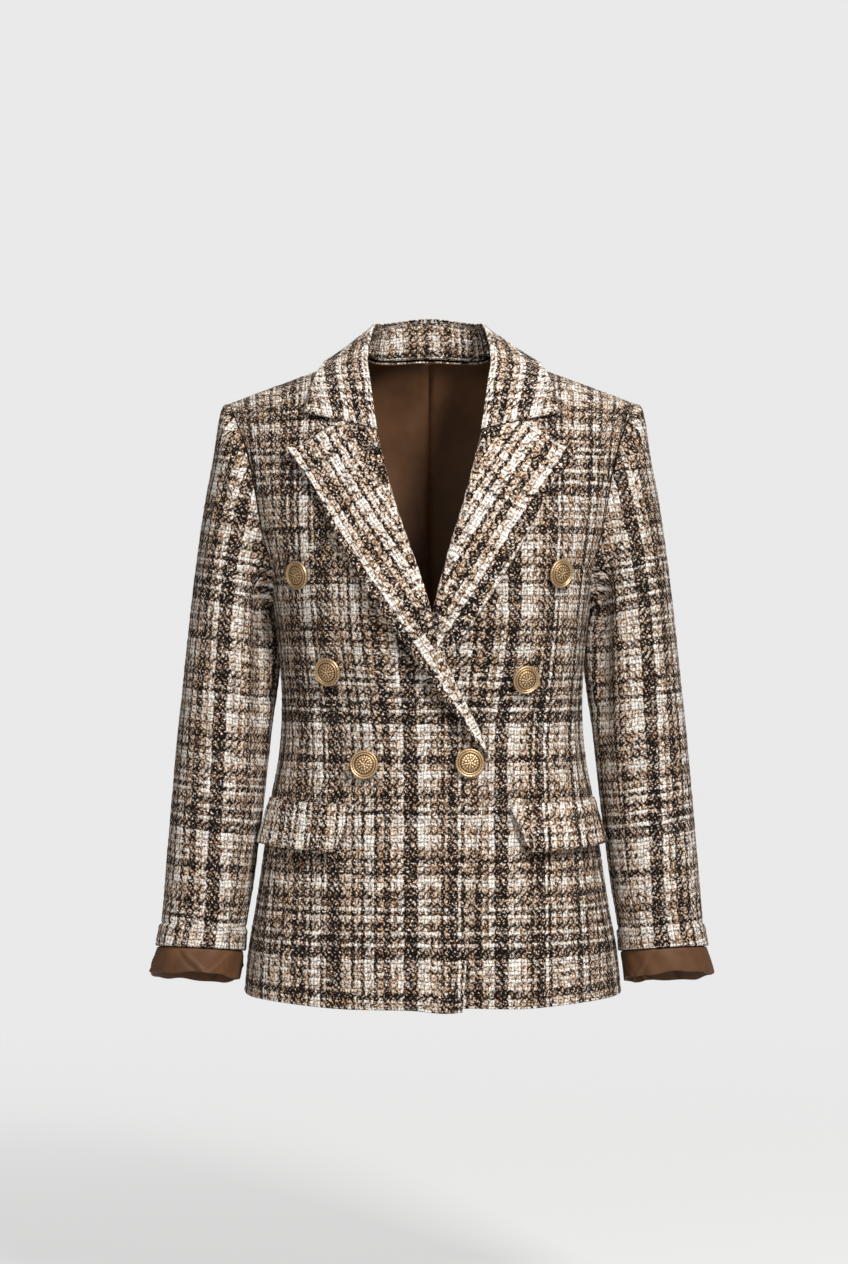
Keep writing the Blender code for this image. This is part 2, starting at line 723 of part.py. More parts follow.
def build():
    clear_scene()
    tweed = coloured("tweed", TWEED, 0.95)
    lapel_tweed = coloured("lapel_tweed", LAPEL_TWEED, 0.95)
    satin = coloured("satin", SATIN, 0.35)
    gold = coloured("gold", GOLD, 0.35, 1.0)
    front_seam, back_seam = SLEEVE_SEAMS
    for side in ("right", "left"):
        wall("front_" + side, front_sheet(side), CLOTH, tweed)
        wall("back_" + side, back_sheet(side), CLOTH, tweed)
        wall("side_" + side, side_sheet(side), CLOTH, tweed)
        wall("lapel_" + side, lapel_sheet(side), DOUBLE_CLOTH, lapel_tweed)
        top = sleeve_sheet(side, back_seam, front_seam, TOP_COLUMNS)
        under = sleeve_sheet(side, front_seam, 360 + back_seam, UNDER_COLUMNS)
        wall("sleeve_top_" + side, top, CLOTH, tweed, SLEEVE_GAP)
        wall("sleeve_under_" + side, under, CLOTH, tweed, SLEEVE_GAP)
        wall("flap_" + side, flap_sheet(side), DOUBLE_CLOTH, lapel_tweed)
        lining_cuff(side, satin)
    wall("collar_fall", fall_sheet(), DOUBLE_CLOTH, lapel_tweed)
    wall("collar_stand", stand_sheet(), CLOTH, tweed)
    for spec in BUTTONS:
        button(spec, gold)


build()
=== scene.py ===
"""A double-breasted tweed jacket in the hollow form it has when worn: its cloth, lining and buttons.

+X is the wearer's left, the front faces -Y and +Z is up. Tables and sizes of the cut are in millimetres,
as on a maker's pattern; MM scales them once, when a mesh is built.
"""

import math
from collections import namedtuple

import bmesh
import bpy
import numpy as np
from bpy.props import FloatProperty, FloatVectorProperty, IntProperty, PointerProperty
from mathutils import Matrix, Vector, noise


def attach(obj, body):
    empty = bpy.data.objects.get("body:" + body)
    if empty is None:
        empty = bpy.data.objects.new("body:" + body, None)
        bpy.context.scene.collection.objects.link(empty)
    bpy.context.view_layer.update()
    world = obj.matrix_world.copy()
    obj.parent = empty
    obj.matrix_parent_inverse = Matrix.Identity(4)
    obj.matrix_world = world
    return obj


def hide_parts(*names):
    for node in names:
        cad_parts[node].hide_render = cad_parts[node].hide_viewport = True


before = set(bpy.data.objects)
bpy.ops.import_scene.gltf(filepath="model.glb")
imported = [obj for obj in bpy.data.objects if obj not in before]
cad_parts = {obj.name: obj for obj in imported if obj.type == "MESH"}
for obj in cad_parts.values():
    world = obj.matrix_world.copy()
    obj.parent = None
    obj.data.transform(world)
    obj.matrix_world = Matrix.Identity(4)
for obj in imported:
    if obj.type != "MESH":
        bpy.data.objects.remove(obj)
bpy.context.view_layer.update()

bl_info = {
    "name": "Worn Tweed Jacket",
    "version": (1, 0, 0),
    "blender": (4, 5, 0),
    "location": "3D View > Sidebar > Jacket",
    "description": "Cuts and finishes a double-breasted tweed jacket, piece by piece",
    "category": "Add Mesh",
}

MM = 0.001
SIDES = ("right", "left")

# Sizes of the cut

CLOTH = 2.8  # thickness of one layer, with what backs it
DOUBLE_CLOTH = 3.8  # two layers pressed together
LINING = 1.4
SEAM = 0.3  # how far a piece ends before its seam line
SLEEVE_GAP = 0.7  # the same for a sleeve
LIES_OFF = 0.8  # gap under a lapel, the collar or a flap
OVER_LAPEL = 8.6  # how far the right front stands out over the left one and its lapel
OVER_FRONT = 4.4  # the same below the break, over the left front alone
RIDGE_Y = 3.0  # where the shoulder's ridge runs, between front and back
HEM_Z = -605.0
BREAK_Z = -375.0  # where the lapel starts to turn back
CORNER_Z = -198.0  # where a side seam meets the armhole
UNDERARM_Z = -231.5  # the lowest place of the armhole
FLANK_X = 150.0  # where a height beside the body is measured
NECK_ROUNDING = 40.0  # half the width over which the shoulder slopes fade into each other
SEAM_BLEND = 0.3  # rise in which the side seam's line passes into the armhole's
CUFF_SHOWS = 27.0  # length of the lining that shows below the cuff
DART_LOW, DART_HIGH = (-412, 99.5), (-262, 110.0)  # height and distance from the centre of the dart's ends

# The body's horizontal sections, from the hem (rise 0) past the armhole corner (1) to the shoulder (2)
Section = namedtuple("Section", "rise height half_width front back roundness slope armhole_x")
BODY = [
    Section(0.00, HEM_Z, 180.5, 124, 120, 2.5, 0.0, 150.0),
    Section(0.12, -557, 176.0, 120, 114, 2.5, 0.0, 150.0),
    Section(0.22, -517, 169.0, 115, 107, 2.5, 0.0, 150.0),
    Section(0.34, -467, 161.5, 108, 99, 2.45, 0.0, 148.0),
    Section(0.46, -416, 154.5, 103, 92, 2.4, 0.0, 146.0),
    Section(0.56, -375, 147.0, 100, 88, 2.35, 0.0, 142.0),
    Section(0.66, -331, 144.0, 102, 88, 2.35, 0.0, 140.0),
    Section(0.76, -290, 145.5, 110, 93, 2.4, 0.0, 142.0),
    Section(0.88, -245, 149.5, 120, 99, 2.4, 0.0, 146.0),
    Section(1.00, CORNER_Z, 158.0, 125, 104, 2.4, 0.0, 151.0),
    Section(1.20, -165, 169.5, 121, 109, 2.4, 0.09, 160.0),
    Section(1.40, -130, 177.5, 112, 110, 2.4, 0.19, 166.3),
    Section(1.60, -95, 184.0, 97, 104, 2.4, 0.285, 173.2),
    Section(1.75, -68, 192.0, 77, 91, 2.4, 0.345, 182.0),
    Section(1.87, -50, 198.0, 52, 70, 2.4, 0.375, 189.5),
    Section(1.95, -41, 201.0, 24, 38, 2.4, 0.385, 193.0),
    Section(2.00, -38, 202.5, 0, 0, 2.4, 0.385, 194.5),
]

# Turns round the body, in degrees from the front centre, of the side panel's two seams
SideSeams = namedtuple("SideSeams", "rise front back")
SIDE_SEAMS = [
    SideSeams(0.0, 66.0, 112.0),
    SideSeams(0.5, 68.0, 110.0),
    SideSeams(1.0, 71.25, 108.75),
]

# The edge of the front that laps over: hem corner, straight edge, break, then the lapel's roll line
FrontEdge = namedtuple("FrontEdge", "height across")
FRONT_EDGE = [
    FrontEdge(HEM_Z, 27.5),
    FrontEdge(-530.0, 34.7),
    FrontEdge(-440.0, 44.0),
    FrontEdge(BREAK_Z, 50.0),
    FrontEdge(-331.0, 35.5),
    FrontEdge(-301.0, 21.0),
    FrontEdge(-269.0, 7.5),
    FrontEdge(-222.0, -4.0),
    FrontEdge(-174.0, -19.0),
    FrontEdge(-132.0, -32.5),
    FrontEdge(-89.0, -43.5),
    FrontEdge(-48.0, -52.5),
    FrontEdge(-13.0, -57.5),
    FrontEdge(14.0, -61.5),
]
LAPEL_EDGE = [
    FrontEdge(BREAK_Z + 2.0, 48.5),
    FrontEdge(-341.0, 28.5),
    FrontEdge(-281.0, -11.5),
    FrontEdge(-222.0, -53.0),
    FrontEdge(-166.0, -86.5),
    FrontEdge(-122.0, -107.5),
    FrontEdge(-82.0, -135.5),
]
PEAK = (-135.5, -82.0)
NOTCH_X = -81.5
GORGE_GAP = 0.3  # between the lapel's upper edge and the collar's front end
LAPEL_SAG = 7.5  # how far the lapel's top dips between notch and peak
ROLL = 4.1  # radius of the lapel's rolled fold, which turns round the front's edge
ROLL_TURN = 165  # how far round its fold the lapel's inner edge lies, in degrees
ROLL_THIN = 1.7  # cloth thickness inside the roll
ROLL_INSET = 3.4  # how far the front stays inside the roll
EDGE_LIFT = 4.5  # how far the lapel's outer edge stands off the front
EDGE_BELLY = 3.5  # how much further it stands off just above the break
COLLAR_LIFT = 3.0  # how far the collar's outer edge stands off

# The collar from its front end to the centre back: neck seam, fold line and outer edge
Collar = namedtuple("Collar", "along neck_x neck_over lean back up edge_x edge_over")
COLLAR = [
    Collar(0.00, 47.5, -0.435, 0.0, 0.0, 0.0, 119.5, -0.286),
    Collar(0.16, 54.0, -0.240, 0.0, 0.0, 0.0, 111.5, -0.170),
    Collar(0.30, 57.5, -0.120, -0.5, 1.0, 4.0, 104.0, -0.080),
    Collar(0.42, 61.5, 0.000, -9.0, 2.0, 22.0, 97.0, 0.000),
    Collar(0.56, 59.5, 0.040, -8.6, 5.0, 31.0, 89.0, 0.090),
    Collar(0.72, 48.0, 0.085, -6.5, 5.0, 35.0, 70.0, 0.170),
    Collar(0.86, 26.0, 0.115, -3.0, 2.5, 37.5, 38.0, 0.215),
    Collar(1.00, 0.0, 0.125, 0.0, 0.0, 38.5, 0.0, 0.230),
]
FALL_ROLL = 2.5  # how far the collar's fall bellies out below its fold
NECK_SWAY = -3.0  # how far the neck and what is beside it sit to the wearer's right
STAND_FROM = 0.34  # where along the collar the stand begins
STAND_FOOT = 1.2  # how far its foot stays above the neck seam
STAND_BELOW_FOLD = 6.5  # how far its top stays below the fold

# The sleeve's sections, from the armhole seam (0) over the sleeve head to the cuff (12)
Ring = namedtuple("Ring", "along outer_x outer_z inner_x inner_z front back middle_y")
SLEEVE = [
    Ring(0, 194.5, -35.0, 153.4, -231.0, 51.0, 51.0, 0.0),
    Ring(1, 200.5, -39.0, 155.2, -233.0, 52.0, 52.0, 0.5),
    Ring(2, 204.5, -54.0, 156.2, -235.5, 53.0, 54.0, 1.0),
    Ring(3, 209.5, -88.0, 156.4, -239.0, 55.0, 56.0, 2.0),
    Ring(4, 217.5, -131.0, 155.8, -243.5, 57.0, 58.0, 2.0),
    Ring(5, 225.0, -182.0, 154.6, -250.0, 58.5, 59.5, 2.0),
    Ring(6, 232.0, -240.0, 152.4, -264.0, 58.0, 60.0, 2.0),
    Ring(7, 238.5, -303.0, 151.0, -308.0, 56.0, 58.0, 1.0),
    Ring(8, 243.5, -350.0, 155.0, -358.0, 53.0, 54.0, -1.0),
    Ring(9, 249.5, -418.0, 162.0, -425.0, 49.0, 50.0, -3.0),
    Ring(10, 255.0, -486.0, 170.5, -493.0, 45.0, 46.0, -8.0),
    Ring(11, 258.5, -531.0, 177.5, -536.5, 42.5, 43.0, -13.0),
    Ring(12, 262.5, -556.0, 179.5, -560.5, 43.0, 43.5, -15.0),
]
HEAD_END = 3.0  # where along the sleeve it has left the armhole's line
SLEEVE_TIP = 0.008  # how steeply a section rises forwards, for each millimetre that it hangs forwards
SLEEVE_SEAMS = (128.0, -118.0)
ARMHOLE_CORNER = 132.0
SLEEVE_ROUNDNESS = 2.2
LAST_SECTION = 24.0  # length of the sleeve from its last section but one to the cuff
CUFF_HEM = 21.0  # the turned-up end of the sleeve, stitched along its upper edge
CUFF_STEP = 1.7  # how far it stands out

# The lining below the cuff: distance past the cuff edge, and how far out of the cuff's inside face it lies
Turn = namedtuple("Turn", "at past out")
LINING_FACES = [
    Turn(0.0, -11.0, -0.5),
    Turn(1.0, -1.0, -0.4),
    Turn(1.5, 0.4, 0.9),
    Turn(2.0, 1.4, 2.1),
    Turn(3.0, 11.0, 2.5),
    Turn(4.0, 20.0, 2.5),
    Turn(5.0, CUFF_SHOWS - 0.9, 2.5),
    Turn(5.4, CUFF_SHOWS - 0.1, 2.1),
    Turn(5.8, CUFF_SHOWS - 0.1, 1.3),
    Turn(6.2, CUFF_SHOWS - 0.9, 0.9),
    Turn(7.0, 20.0, 0.2),
    Turn(8.0, 11.0, -0.4),
    Turn(9.0, 2.5, -1.2),
    Turn(10.0, -1.0, -0.5 - LINING),
    Turn(11.0, -11.0, -0.5 - LINING),
]
LINING_SLANT = 0.13  # share by which the lining shows less in front, and more behind
LINING_SHIFT = 1.8  # how far its end lies outwards

# Creases of the turned-down lining: where round the cuff, how they slant, half their width, and height
Crease = namedtuple("Crease", "turn slant width height")
CREASES = [
    Crease(60, 1.5, 2.6, 1.5),
    Crease(66, 1.5, 2.6, -1.5),
    Crease(96, -1.1, 3.2, 1.1),
    Crease(102, -1.1, 2.8, -1.1),
    Crease(122, 0.7, 3.0, -1.1),
    Crease(34, -1.2, 3.4, 1.2),
    Crease(12, 0.7, 3.2, -1.1),
    Crease(-38, 1.2, 3.6, 1.3),
    Crease(-46, 1.2, 3.0, -1.1),
    Crease(-80, -1.0, 3.2, -1.2),
    Crease(-120, 0.8, 4.5, 1.2),
    Crease(165, -0.7, 4.0, -1.1),
]

FLAP_FRONT = (22.8, 28.3)
FLAP_BACK = (76.5, 77.5)
FLAP_TOP_Z = (-417.0, -413.0)
FLAP_BOTTOM_Z = (-462.0, -457.0)
FLAP_STANDS_OFF = 6.5  # at its lower edge
FLAP_CURL = 3.2  # how much further its front corner stands off
FLAP_WAVE = 0.9
HEM_WAVE = 1.1

# How far in the inside shows the cloth: from the front's edge, and up from the hem and the cuff
FACING = 62
HEM_TURN_UP = 34
CUFF_TURN_UP = 14

Button = namedtuple("Button", "number side across height")
BUTTONS = [
    Button(1, "right", -123.0, -202.5),
    Button(2, "right", -95.5, -292.5),
    Button(3, "right", -61.0, -379.5),
    Button(4, "left", 117.0, -201.0),
    Button(5, "left", 85.5, -299.5),
    Button(6, "right", 33.5, -377.5),
]

# A turned button's outline, down from the top centre, round the rim and in to the shank
Outline = namedtuple("Outline", "step radius height")
BUTTON_OUTLINE = [
    Outline(0, 0.0, 7.45),
    Outline(4, 3.0, 7.35),
    Outline(8, 6.0, 6.95),
    Outline(11, 8.3, 6.35),
    Outline(12, 9.0, 5.95),
    Outline(13, 9.6, 6.35),
    Outline(14, 10.3, 6.55),
    Outline(15, 10.9, 6.1),
    Outline(16, 11.4, 5.75),
    Outline(17, 12.0, 6.15),
    Outline(18, 12.7, 6.2),
    Outline(19, 13.3, 5.5),
    Outline(20, 13.5, 4.6),
    Outline(21, 13.1, 3.6),
    Outline(22, 11.5, 2.9),
    Outline(23, 6.0, 2.5),
    Outline(24, 3.2, 2.2),
    Outline(26, 3.0, 0.0),
]

# The soft folds of the worn cloth, given for the wearer's right side with x counted outwards: a fold's
# middle, the way it runs, half its length and width, and how far it stands out (or falls in, below zero)
Fold = namedtuple("Fold", "x y z run_x run_y run_z length width rise")
RIGHT_SLEEVE_FOLDS = [
    Fold(172, -30, -262, 0.45, -0.3, 0.85, 42, 9, -1.6),
    Fold(184, -46, -276, 0.35, -0.3, 0.90, 48, 10, 1.3),
    Fold(166, -24, -322, 0.80, -0.4, -0.45, 34, 8, -2.3),
    Fold(172, -36, -342, 0.80, -0.4, -0.45, 36, 9, 1.7),
    Fold(170, -26, -368, 0.85, -0.4, -0.35, 38, 8, -2.1),
    Fold(186, -44, -398, 0.80, -0.3, -0.50, 44, 12, 1.4),
    Fold(192, -44, -438, 0.75, -0.2, -0.60, 48, 11, -1.5),
    Fold(232, -36, -300, 0.10, 0.1, 1.00, 70, 14, 0.9),
    Fold(240, -28, -478, -0.30, -0.3, 0.90, 46, 12, -1.1),
    Fold(205, 55, -300, -0.70, 0.2, -0.70, 48, 11, -2.2),
    Fold(196, 56, -335, -0.75, 0.1, -0.60, 48, 11, 1.8),
    Fold(190, 52, -372, -0.80, 0.1, -0.55, 42, 10, -2.0),
    Fold(228, 44, -430, 0.20, -0.1, 1.00, 60, 13, 1.2),
    Fold(205, 50, -210, 0.40, 0.2, 0.90, 46, 11, -1.4),
]
LEFT_SLEEVE_FOLDS = [
    Fold(170, -28, -268, 0.50, -0.3, 0.80, 40, 9, -1.5),
    Fold(188, -48, -292, 0.30, -0.3, 0.90, 46, 11, 1.2),
    Fold(166, -24, -336, 0.85, -0.4, -0.35, 36, 8, -2.4),
    Fold(174, -38, -356, 0.80, -0.4, -0.40, 38, 9, 1.8),
    Fold(174, -28, -384, 0.80, -0.4, -0.45, 36, 8, -2.0),
    Fold(198, -44, -420, 0.60, -0.3, -0.75, 50, 12, 1.3),
    Fold(214, -40, -466, 0.40, -0.2, -0.90, 46, 11, -1.3),
    Fold(238, -34, -350, 0.10, 0.1, 1.00, 70, 14, 0.9),
    Fold(207, 54, -308, -0.70, 0.2, -0.70, 46, 11, -2.1),
    Fold(194, 55, -346, -0.80, 0.1, -0.50, 46, 10, 1.8),
    Fold(192, 50, -386, -0.75, 0.1, -0.60, 42, 10, -1.9),
    Fold(230, 42, -446, 0.15, -0.1, 1.00, 56, 13, 1.1),
    Fold(203, 51, -222, 0.35, 0.2, 0.90, 44, 11, -1.3),
]
# The sleeves' rest against the body, and the hollow before it
UNDERARM_FOLDS = [
    Fold(151, 2, -262, 0.0, 0.0, 1.00, 52, 26, 7.0),
    Fold(160, -36, -285, 0.04, 0.02, 1.00, 115, 15, -9.0),
]
BODY_FOLDS = [
    Fold(138, -62, -330, 0.20, -0.3, 1.00, 60, 13, -1.3),
    Fold(128, -78, -300, 0.35, -0.2, 0.95, 60, 14, 1.0),
    Fold(146, -30, -352, 0.60, -0.4, 0.60, 34, 10, -1.2),
    Fold(120, -92, -520, 0.08, 0.0, 1.00, 80, 18, -1.4),
    Fold(82, -110, -540, 0.03, 0.0, 1.00, 80, 20, 1.2),
    Fold(158, -50, -540, 0.10, 0.1, 1.00, 70, 16, 1.3),
    Fold(160, 20, -545, 0.08, 0.0, 1.00, 75, 17, -1.3),
    Fold(146, 40, -330, 0.30, 0.3, 0.90, 46, 12, -1.3),
    Fold(132, 60, -360, 0.75, 0.2, -0.55, 46, 11, -1.5),
    Fold(120, 72, -335, 0.80, 0.2, -0.50, 50, 12, 1.3),
    Fold(112, 92, -500, 0.05, 0.0, 1.00, 90, 18, 1.5),
    Fold(70, 108, -530, 0.04, 0.0, 1.00, 85, 18, -1.4),
    Fold(128, 88, -190, -0.30, 0.1, 0.95, 60, 15, 1.3),
    Fold(144, 78, -170, -0.25, 0.2, 0.95, 50, 11, -1.4),
]

# The yarns of one repeat of the check, a letter for each: white, ecru, camel, brown, dark. The warp runs
# from the wearer's right to left, the weft down the cloth.
WARP = "DDWWDCCEEDECCDDCDDEDWWWDEDDDDDCCEDEEDWWWDCCDDECWWDDDDWWWWCECDCDDDWDEECCWWECE"
WEFT = "WWCWCWCEDDECWWCCCBDCBEDWWWCCWWWCCBDCBDCWWCBDCBWDWCDBWDDWDDD"
# Each yarn's lightness and warmth
YARNS = {"D": (0.23, 0.50), "B": (0.46, 0.80), "C": (0.65, 0.84), "E": (0.79, 0.72), "W": (0.94, 0.40)}
WARP_PITCH = 3.068
WEFT_PITCH = 3.763
CHART_START = 176.2  # from the first yarn of the warp's chart to the front centre
BAND_TOPS = (-128.9, -341.1, -558.8)  # heights at which the weft's chart starts again on the body
LEFT_OFFSET = 84.0  # how far the left front is cut along the check against the right one
WAIST_LEAN = 13.8
FLAP_CUTS = {"right": (13.0, 0.0), "left": (5.0, 71.5)}  # a flap's cut across and down, against its front
LAPEL_CUTS = {"right": 24, "left": 16}
SLEEVE_CUTS = {"right": (98.0, 228.5), "left": (92.0, 233.0)}
SLEEVE_REPEAT = 217  # height on the sleeve of the weft's repeat
UNDER_SLEEVE_START = 125

NUBS, SMALL_NUBS = 0.31, 0.7  # nubs for each millimetre of the face
YARN_DRIFTS = ((0.09, 4.0), (0.62, 2.3))  # how fast the yarns wander and shiver, and how far
LOOP_LONG, LOOP_SHORT = 0.56, 0.42
SELF_SHADE = 0.50

# The relief of a button: where its face begins, its cord, and the count, start and end of each row of leaves
FACE_Z = 4.5
CORD_RADIUS = 11.4
LEAF_ROWS = ((5, 0.8, 3.4), (10, 3.0, 6.0), (20, 5.8, 8.6))

# How each part is finished: its slot, the roundness of its rim at the first and last row and at the first and
# last column, how it is held and what it rests on
Part = namedtuple("Part", "slot rim held rests_on")
PARTS = {
    "front": Part("tweed", (1.3, 0.5, 0.5, 1.3), "hung", ["back_%s_cloth"]),
    "back": Part("tweed", (1.3, 0.5, 0.5, 0.5), "hung", ["front_%s_cloth"]),
    "side": Part("tweed", (1.3, 0.5, 0.5, 0.5), "hung", ["front_%s_cloth", "back_%s_cloth"]),
    "sleeve_top": Part("tweed", (0.5, 1.4, 0.5, 0.5), "hung", ["front_%s_cloth"]),
    "sleeve_under": Part("tweed", (0.5, 1.4, 0.5, 0.5), "hung", ["front_%s_cloth"]),
    "lapel": Part("lapel_tweed", (1.0, 1.4, 0.5, 1.6), "folded", ["front_%s_cloth"]),
    "flap": Part("lapel_tweed", (1.7, 0.9, 1.5, 1.6), "hung", ["front_%s_cloth"]),
    "collar_fall": Part("lapel_tweed", (1.6, 1.6, 1.8, 1.6), "folded", ["back_right_cloth", "back_left_cloth"]),
    "collar_stand": Part("tweed", (0.7, 0.7, 1.2, 0.7), "hung", ["back_right_cloth", "back_left_cloth"]),
}

# The stage, in metres and watts
PICTURE_HEIGHT = 1264 * 0.00096
CAMERA_X, CAMERA_Z = -0.0077, -0.256
FLOOR_RADIUS, FLOOR_Z = 2.6, -0.93
FLOOR_LIT, FLOOR_GLOW = 0.3, 0.62  # shares of the floor's paleness that lamps light, and that glows
LIT_PLACE = (0, 0, -0.3)
LAMP_COLOUR = (1.0, 0.985, 0.96)
Lamp = namedtuple("Lamp", "name x y z size energy")
LAMPS = [
    Lamp("key_light", 1.25, -2.45, 1.9, 0.7, 160),
    Lamp("fill_light", -1.1, -3.0, 0.6, 1.8, 28),
    Lamp("back_light", 0.4, 2.6, 1.8, 1.4, 50),
]


def read(table, at):
    """The table's columns at any value of its first one, on smooth curves through its rows."""
    rows = np.array(table, float)
    knots, last = rows[:, 0], len(rows) - 1
    at = np.clip(np.asarray(at, float), knots[0], knots[last])
    i = np.clip(np.searchsorted(knots, at, side="left") - 1, 0, last - 1)
    low, high = rows[i], rows[i + 1]
    before, after = rows[np.maximum(i - 1, 0)], rows[np.minimum(i + 2, last)]
    width = (high - low)[..., :1]
    t = (at[..., None] - low[..., :1]) / width
    leaving = width * (high - before) / (high - before)[..., :1]
    coming = width * (after - low) / (after - low)[..., :1]
    row = (2 * t**3 - 3 * t**2 + 1) * low + (t**3 - 2 * t**2 + t) * leaving
    row += (3 * t**2 - 2 * t**3) * high + (t**3 - t**2) * coming
    return np.moveaxis(row, -1, 0)


def solve(wanted, measure, low, high):
    """The values between low and high at which measure, which climbs, gives the wanted numbers."""
    low = np.full(np.shape(wanted), low, float)
    high = np.full(np.shape(wanted), high, float)
    for _ in range(30):
        middle = (low + high) / 2
        less = measure(middle) < wanted
        low, high = np.where(less, middle, low), np.where(less, high, middle)
    return (low + high) / 2


def power(value, exponent):
    return np.sign(value) * np.abs(value) ** exponent


def smooth_step(value):
    t = np.clip(value, 0.0, 1.0)
    return t * t * (3 - 2 * t)


def mix(a, b, t):
    return a + (b - a) * t


def unit(vectors):
    return vectors / np.maximum(np.linalg.norm(vectors, axis=-1, keepdims=True), 1e-9)


def along_rows(points):
    """The length run along each row of a grid, from its first column."""
    steps = np.linalg.norm(np.diff(points, axis=1), axis=-1)
    return np.concatenate((np.zeros((len(points), 1)), np.cumsum(steps, axis=1)), axis=1)


def up_columns(points):
    return along_rows(points.swapaxes(0, 1)).T


# The body's surface


def torso(turn, rise):
    """The cloth's outer face, turn degrees round from the front centre and rise up the body."""
    turn, rise = np.broadcast_arrays(np.asarray(turn, float), np.asarray(rise, float))
    _, height, half_width, front, back, roundness, slope, _ = read(BODY, rise)
    angle = np.radians(turn)
    x = half_width * power(np.sin(angle), 2 / roundness)
    facing = np.cos(angle)
    y = RIDGE_Y - power(facing, 2 / roundness) * np.where(facing > 0, front, back)
    return np.stack((x, y, height + slope * (half_width - np.hypot(x, NECK_ROUNDING))), axis=-1)


def climb(rise, x):
    _, height, half_width, _, _, _, slope, _ = read(BODY, rise)
    return height + slope * (half_width - np.hypot(x, NECK_ROUNDING))


def turn_at(x, rise, behind=False):
    _, _, half_width, _, _, roundness, _, _ = read(BODY, rise)
    share = np.minimum(np.abs(x) / half_width, 1.0) ** (roundness / 2)
    turn = np.degrees(np.arcsin(share))
    return np.copysign(180 - turn if behind else turn, x)


def rise_at(x, z):
    return solve(z, lambda rise: climb(rise, x), 0.0, 2.0)


def outward(surface, u, v, du=0.5, dv=0.004):
    """A surface's points and their unit normals, pointing away from the body's axis."""
    along_u = surface(u + du, v) - surface(u - du, v)
    along_v = surface(u, v + dv) - surface(u, v - dv)
    return surface(u, v), unit(np.cross(along_u, along_v))


def skin(turn, rise):
    point, normal = outward(torso, turn, rise)
    level = np.ones(3) - np.array((0, 1, 0)) * (np.broadcast_to(rise, point.shape[:-1]) > 2 - 1e-6)[..., None]
    return point, unit(normal * level)


def body_turn_seams(rise):
    """The turns of the body's front and back outer edges: the side seams, then the armhole."""
    _, front, back = read(SIDE_SEAMS, np.minimum(rise, 1.0))
    corner_turn = turn_at(read(BODY, 1.0)[7], 1.0)
    seam = read(SIDE_SEAMS, 1.0)[1]
    blend = np.maximum(0.0, 1 - (rise - 1) / SEAM_BLEND)
    turn = turn_at(read(BODY, rise)[7], rise) + (seam - corner_turn) * blend
    low = np.asarray(rise) <= 1.0
    return np.where(low, front, turn), np.where(low, back, 180 - turn)


def over_lap(x, z):
    """How far the right front is held out, where it passes over the left front and its lapel."""
    across = smooth_step((x + 92) / 50)
    upwards = smooth_step((-188 - z) / 40)
    below_break = smooth_step((BREAK_Z - 8 - z) / 60)
    return mix(OVER_LAPEL, OVER_FRONT, below_break) * across * upwards


def front_edge(z):
    return read(FRONT_EDGE, z)[1]


def placed(vectors, side, drawn="right"):
    """The vectors as drawn for one side of the body, or their mirror image for the other."""
    return vectors if side == drawn else vectors * np.array((-1, 1, 1))


def off(points, normals, lift):
    """The points moved out along their normals."""
    return points + normals * np.asarray(lift)[..., None]


def on_front(x, z, lift, side):
    rise = rise_at(x, z)
    point, normal = skin(turn_at(x, rise), rise)
    if side == "right":
        lift = lift + over_lap(x, z)
    return placed(off(point, normal, lift), side), placed(normal, side)


def round_arc(turn, rise, steps=40):
    """The cloth's length from the front centre to this turn, below zero on the wearer's right."""
    share = np.linspace(0, 1, steps + 1)
    points = torso(turn[..., None] * share, rise[..., None] * np.ones(steps + 1))
    return np.sign(turn) * np.linalg.norm(np.diff(points, axis=-2), axis=-1).sum(axis=-1)


# The check: each sheet's grain is the place of its points on the uncut cloth, in millimetres


def down_the_check(points):
    """The weft's count down the body: by height, and along the cloth where it turns to the shoulder."""
    z = points[..., 2]
    tops = np.array(BAND_TOPS)
    repeat = len(WEFT) * WEFT_PITCH
    lower = np.where(z < tops[1], 1 + (tops[1] - z) / (tops[1] - tops[2]), (tops[0] - z) / (tops[0] - tops[1]))
    run = up_columns(points)
    start = np.array([np.interp(tops[0], z[:, j], run[:, j]) for j in range(z.shape[1])])
    return np.where(z < tops[0], lower * repeat, start - run)


def across_the_check(arc, z, side):
    """The warp's count round a front. The stripes lean out above the waist, where a dart draws them in."""
    own = -arc
    lean = WAIST_LEAN * smooth_step((z - BREAK_Z) / 150) * np.clip(own / 60, 0, 1)
    own = own - lean
    return CHART_START + (-own if side == "right" else own - LEFT_OFFSET)


def cut_apart(across, down, side):
    """A piece's grain. The left one is cut whole repeats further along the cloth, so its slubs are its own."""
    if side == "left":
        across, down = across + 5 * len(WARP) * WARP_PITCH, down + 3 * len(WEFT) * WEFT_PITCH
    return np.stack((across, down), axis=-1)


Sheet = namedtuple("Sheet", "points normals thick grain")


def front_sheet(side, rows=190, columns=64):
    rise = np.linspace(0.0, 2.0, rows + 1)
    x = np.zeros(rows + 1)
    for _ in range(12):
        z = climb(rise, x)
        x = front_edge(z) - ROLL_INSET * smooth_step((z - BREAK_Z - 6) / 30)
    inner, outer = turn_at(x, rise), -body_turn_seams(rise)[0]
    turn = mix(outer[:, None], inner[:, None], np.linspace(0, 1, columns + 1))
    point, normal = skin(turn, rise[:, None])
    run = along_rows(point)
    arc = run - run[:, -1:] + round_arc(inner, rise)[:, None]
    grain = cut_apart(across_the_check(arc, point[..., 2], side), down_the_check(point), side)
    point = off(point, normal, darted(point))
    if side == "right":
        point = off(point, normal, over_lap(point[..., 0], point[..., 2]))
    return Sheet(placed(point, side), placed(normal, side), CLOTH, grain)


